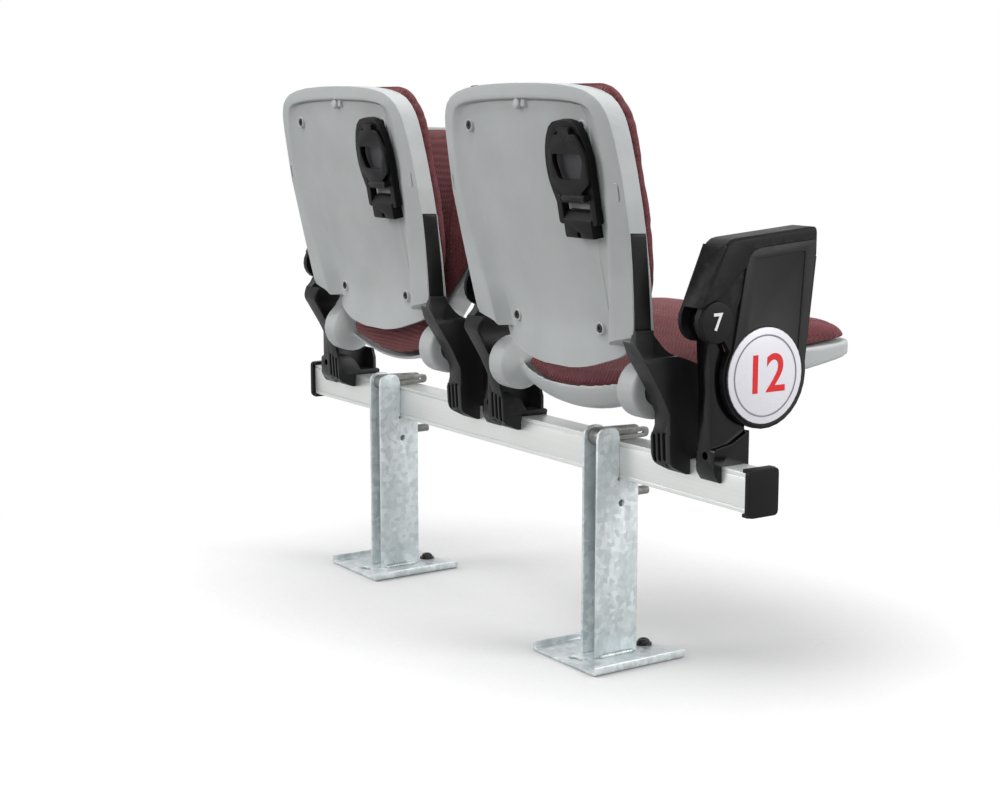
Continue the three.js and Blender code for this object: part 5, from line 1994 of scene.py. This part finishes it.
@dataclass
class Studio:
    """The white studio and the camera."""

    camera_from_beam: Place = (-2.2139, 1.4736, 0.7613)
    looking: Place = (0.8194, -0.5496, -0.1631)
    lens: float = 64.06
    lamps_face: Place = (0, 0, 0.45)
    sensor: float = 36
    floor_size: float = 40
    floor_below: float = 0.0004
    floor_grey: float = 0.55
    floor_glow: float = 0.5
    # shade_reach and shade_depth shape the painted shadow that ambient occlusion puts in the floor's glow.
    shade_reach: float = 0.62
    shade_depth: float = 2.6
    fade: tuple[float, float] = (0.62, 1.15)
    sky: float = 0.24

    LAMPS = {"key": ((-2.9, -1.7, 1.9), 1.9, 92.0), "top": ((0.2, 0.6, 3.1), 2.2, 64.0),
             "rear": ((1.6, 3.0, 1.9), 1.7, 53.0), "fill": ((-2.6, 2.6, 0.9), 2.2, 30.0)}

    def build(self, rear: float) -> None:
        """Builds the floor, the world, the lamps and the camera.

        Args:
            rear: Y of the beam's rear face.
        """
        self.camera(rear)
        self.floor()
        self.world()
        for name, (place, size, power) in self.LAMPS.items():
            self.lamp(name, place, size, power)

    @staticmethod
    def hang(name: str, data: bpy.types.ID, place: Place, way: Vector) -> bpy.types.Object:
        """Puts a camera or a lamp in its place.

        Args:
            name: Its name.
            data: The camera or lamp.
            place: Where it hangs.
            way: The direction that it looks in.

        Returns:
            Its object.
        """
        obj = bpy.data.objects.new(name, data)
        bpy.context.scene.collection.objects.link(obj)
        obj.location = place
        obj.rotation_mode = "QUATERNION"
        obj.rotation_quaternion = way.to_track_quat("-Z", "Y")
        return obj

    def camera(self, rear: float) -> None:
        """Places the camera where the photograph was taken from.

        Args:
            rear: Y of the beam's rear face.
        """
        data = bpy.data.cameras.new("camera")
        data.lens = self.lens
        data.sensor_width = self.sensor
        data.clip_end = 60
        x, y, z = self.camera_from_beam
        bpy.context.scene.camera = self.hang("camera", data, (x, rear + y, z), Vector(self.looking))

    @staticmethod
    def seen(nodes: Wiring) -> bpy.types.NodeSocket:
        """Adds a mask that is 1 for camera, glossy and transmission rays.

        Args:
            nodes: The material's or world's nodes.

        Returns:
            The mask.
        """
        rays = nodes.add("LightPath").outputs
        mirrored = nodes.maths("MAXIMUM", rays["Is Camera Ray"], rays["Is Glossy Ray"])
        return nodes.maths("MAXIMUM", mirrored, rays["Is Transmission Ray"])

    def floor(self) -> None:
        """Lays the floor, which keeps the row's soft shadow, darkens its glow by ambient occlusion as a painted
        shadow under the row, and fades to white away from it.
        """
        Bench.clear()
        bpy.ops.mesh.primitive_plane_add(size=self.floor_size, location=(0, 0, -self.floor_below))
        obj = Bench.named("studio_floor")
        material = bpy.data.materials.new("studio floor")
        material.use_nodes = True
        nodes = Wiring(material.node_tree)
        nodes.tree.nodes.clear()
        seen = self.seen(nodes)
        open_sky = nodes.add("AmbientOcclusion", {"Distance": self.shade_reach}).outputs["AO"]
        # Painted shadow: the camera-only glow is dimmed where ambient occlusion finds the row overhead.
        glow_with_painted_shadow = nodes.times(nodes.times(seen, self.floor_glow), nodes.maths("POWER", open_sky, self.shade_depth))
        matt = nodes.add("BsdfDiffuse", {"Color": (self.floor_grey, self.floor_grey, self.floor_grey, 1)})
        lit = nodes.add("Emission", {"Strength": glow_with_painted_shadow})
        near = nodes.add("AddShader", {0: matt.outputs[0], 1: lit.outputs[0]})
        far = nodes.add("Emission", {"Strength": seen})
        place = nodes.add("TexCoord").outputs["Object"]
        away = nodes.add("VectorMath", {0: place}, operation="LENGTH").outputs["Value"]
        faded = nodes.add("MixShader", {0: nodes.ramp(away, *self.fade), 1: near.outputs[0], 2: far.outputs[0]})
        nodes.add("OutputMaterial", {"Surface": faded.outputs[0]})
        obj.data.materials.append(material)

    def world(self) -> None:
        """Makes the world white to the camera, and soft to the object."""
        world = bpy.data.worlds.new("studio")
        world.use_nodes = True
        bpy.context.scene.world = world
        nodes = Wiring(world.node_tree)
        back = nodes.tree.nodes["Background"].inputs
        nodes.feed(back["Strength"], nodes.span(self.seen(nodes), self.sky, 1.0))
        nodes.feed(back["Color"], (1, 1, 1, 1))

    def lamp(self, name: str, place: Place, size: float, power: float) -> None:
        """Hangs one soft lamp that faces the row.

        Args:
            name: The lamp's name.
            place: Where it hangs.
            size: Its width.
            power: Its power.
        """
        data = bpy.data.lights.new(name, "AREA")
        data.shape = "SQUARE"
        data.size = size
        data.energy = power
        self.hang(name, data, place, Vector(self.lamps_face) - Vector(place))


def main() -> None:
    """Builds the row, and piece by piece."""
    logging.basicConfig(level=logging.INFO, format="%(message)s")
    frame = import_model()
    bpy.context.scene.view_settings.view_transform = "Standard"
    shop = Shop(frame)
    Studio().build(shop.row.rear)
    Beam().build(shop)
    form = BackForm()
    for side in Side:
        Stand(side).build(shop)
        BackShell(form).build(shop, side)
        Hardware(side, form).build(shop)
        CupHolder(side).build(shop)
    SeatPan().build(shop)
    cushions = Upholstery()
    cushions.back(shop, form)
    cushions.seat(shop)
    for name, sign, ended in (("right", -1, True), ("middle", -1, False), ("left", 1, True)):
        Arm(name, sign, ended).build(shop)
    Bench.clear()


if __name__ == "__main__":
    main()
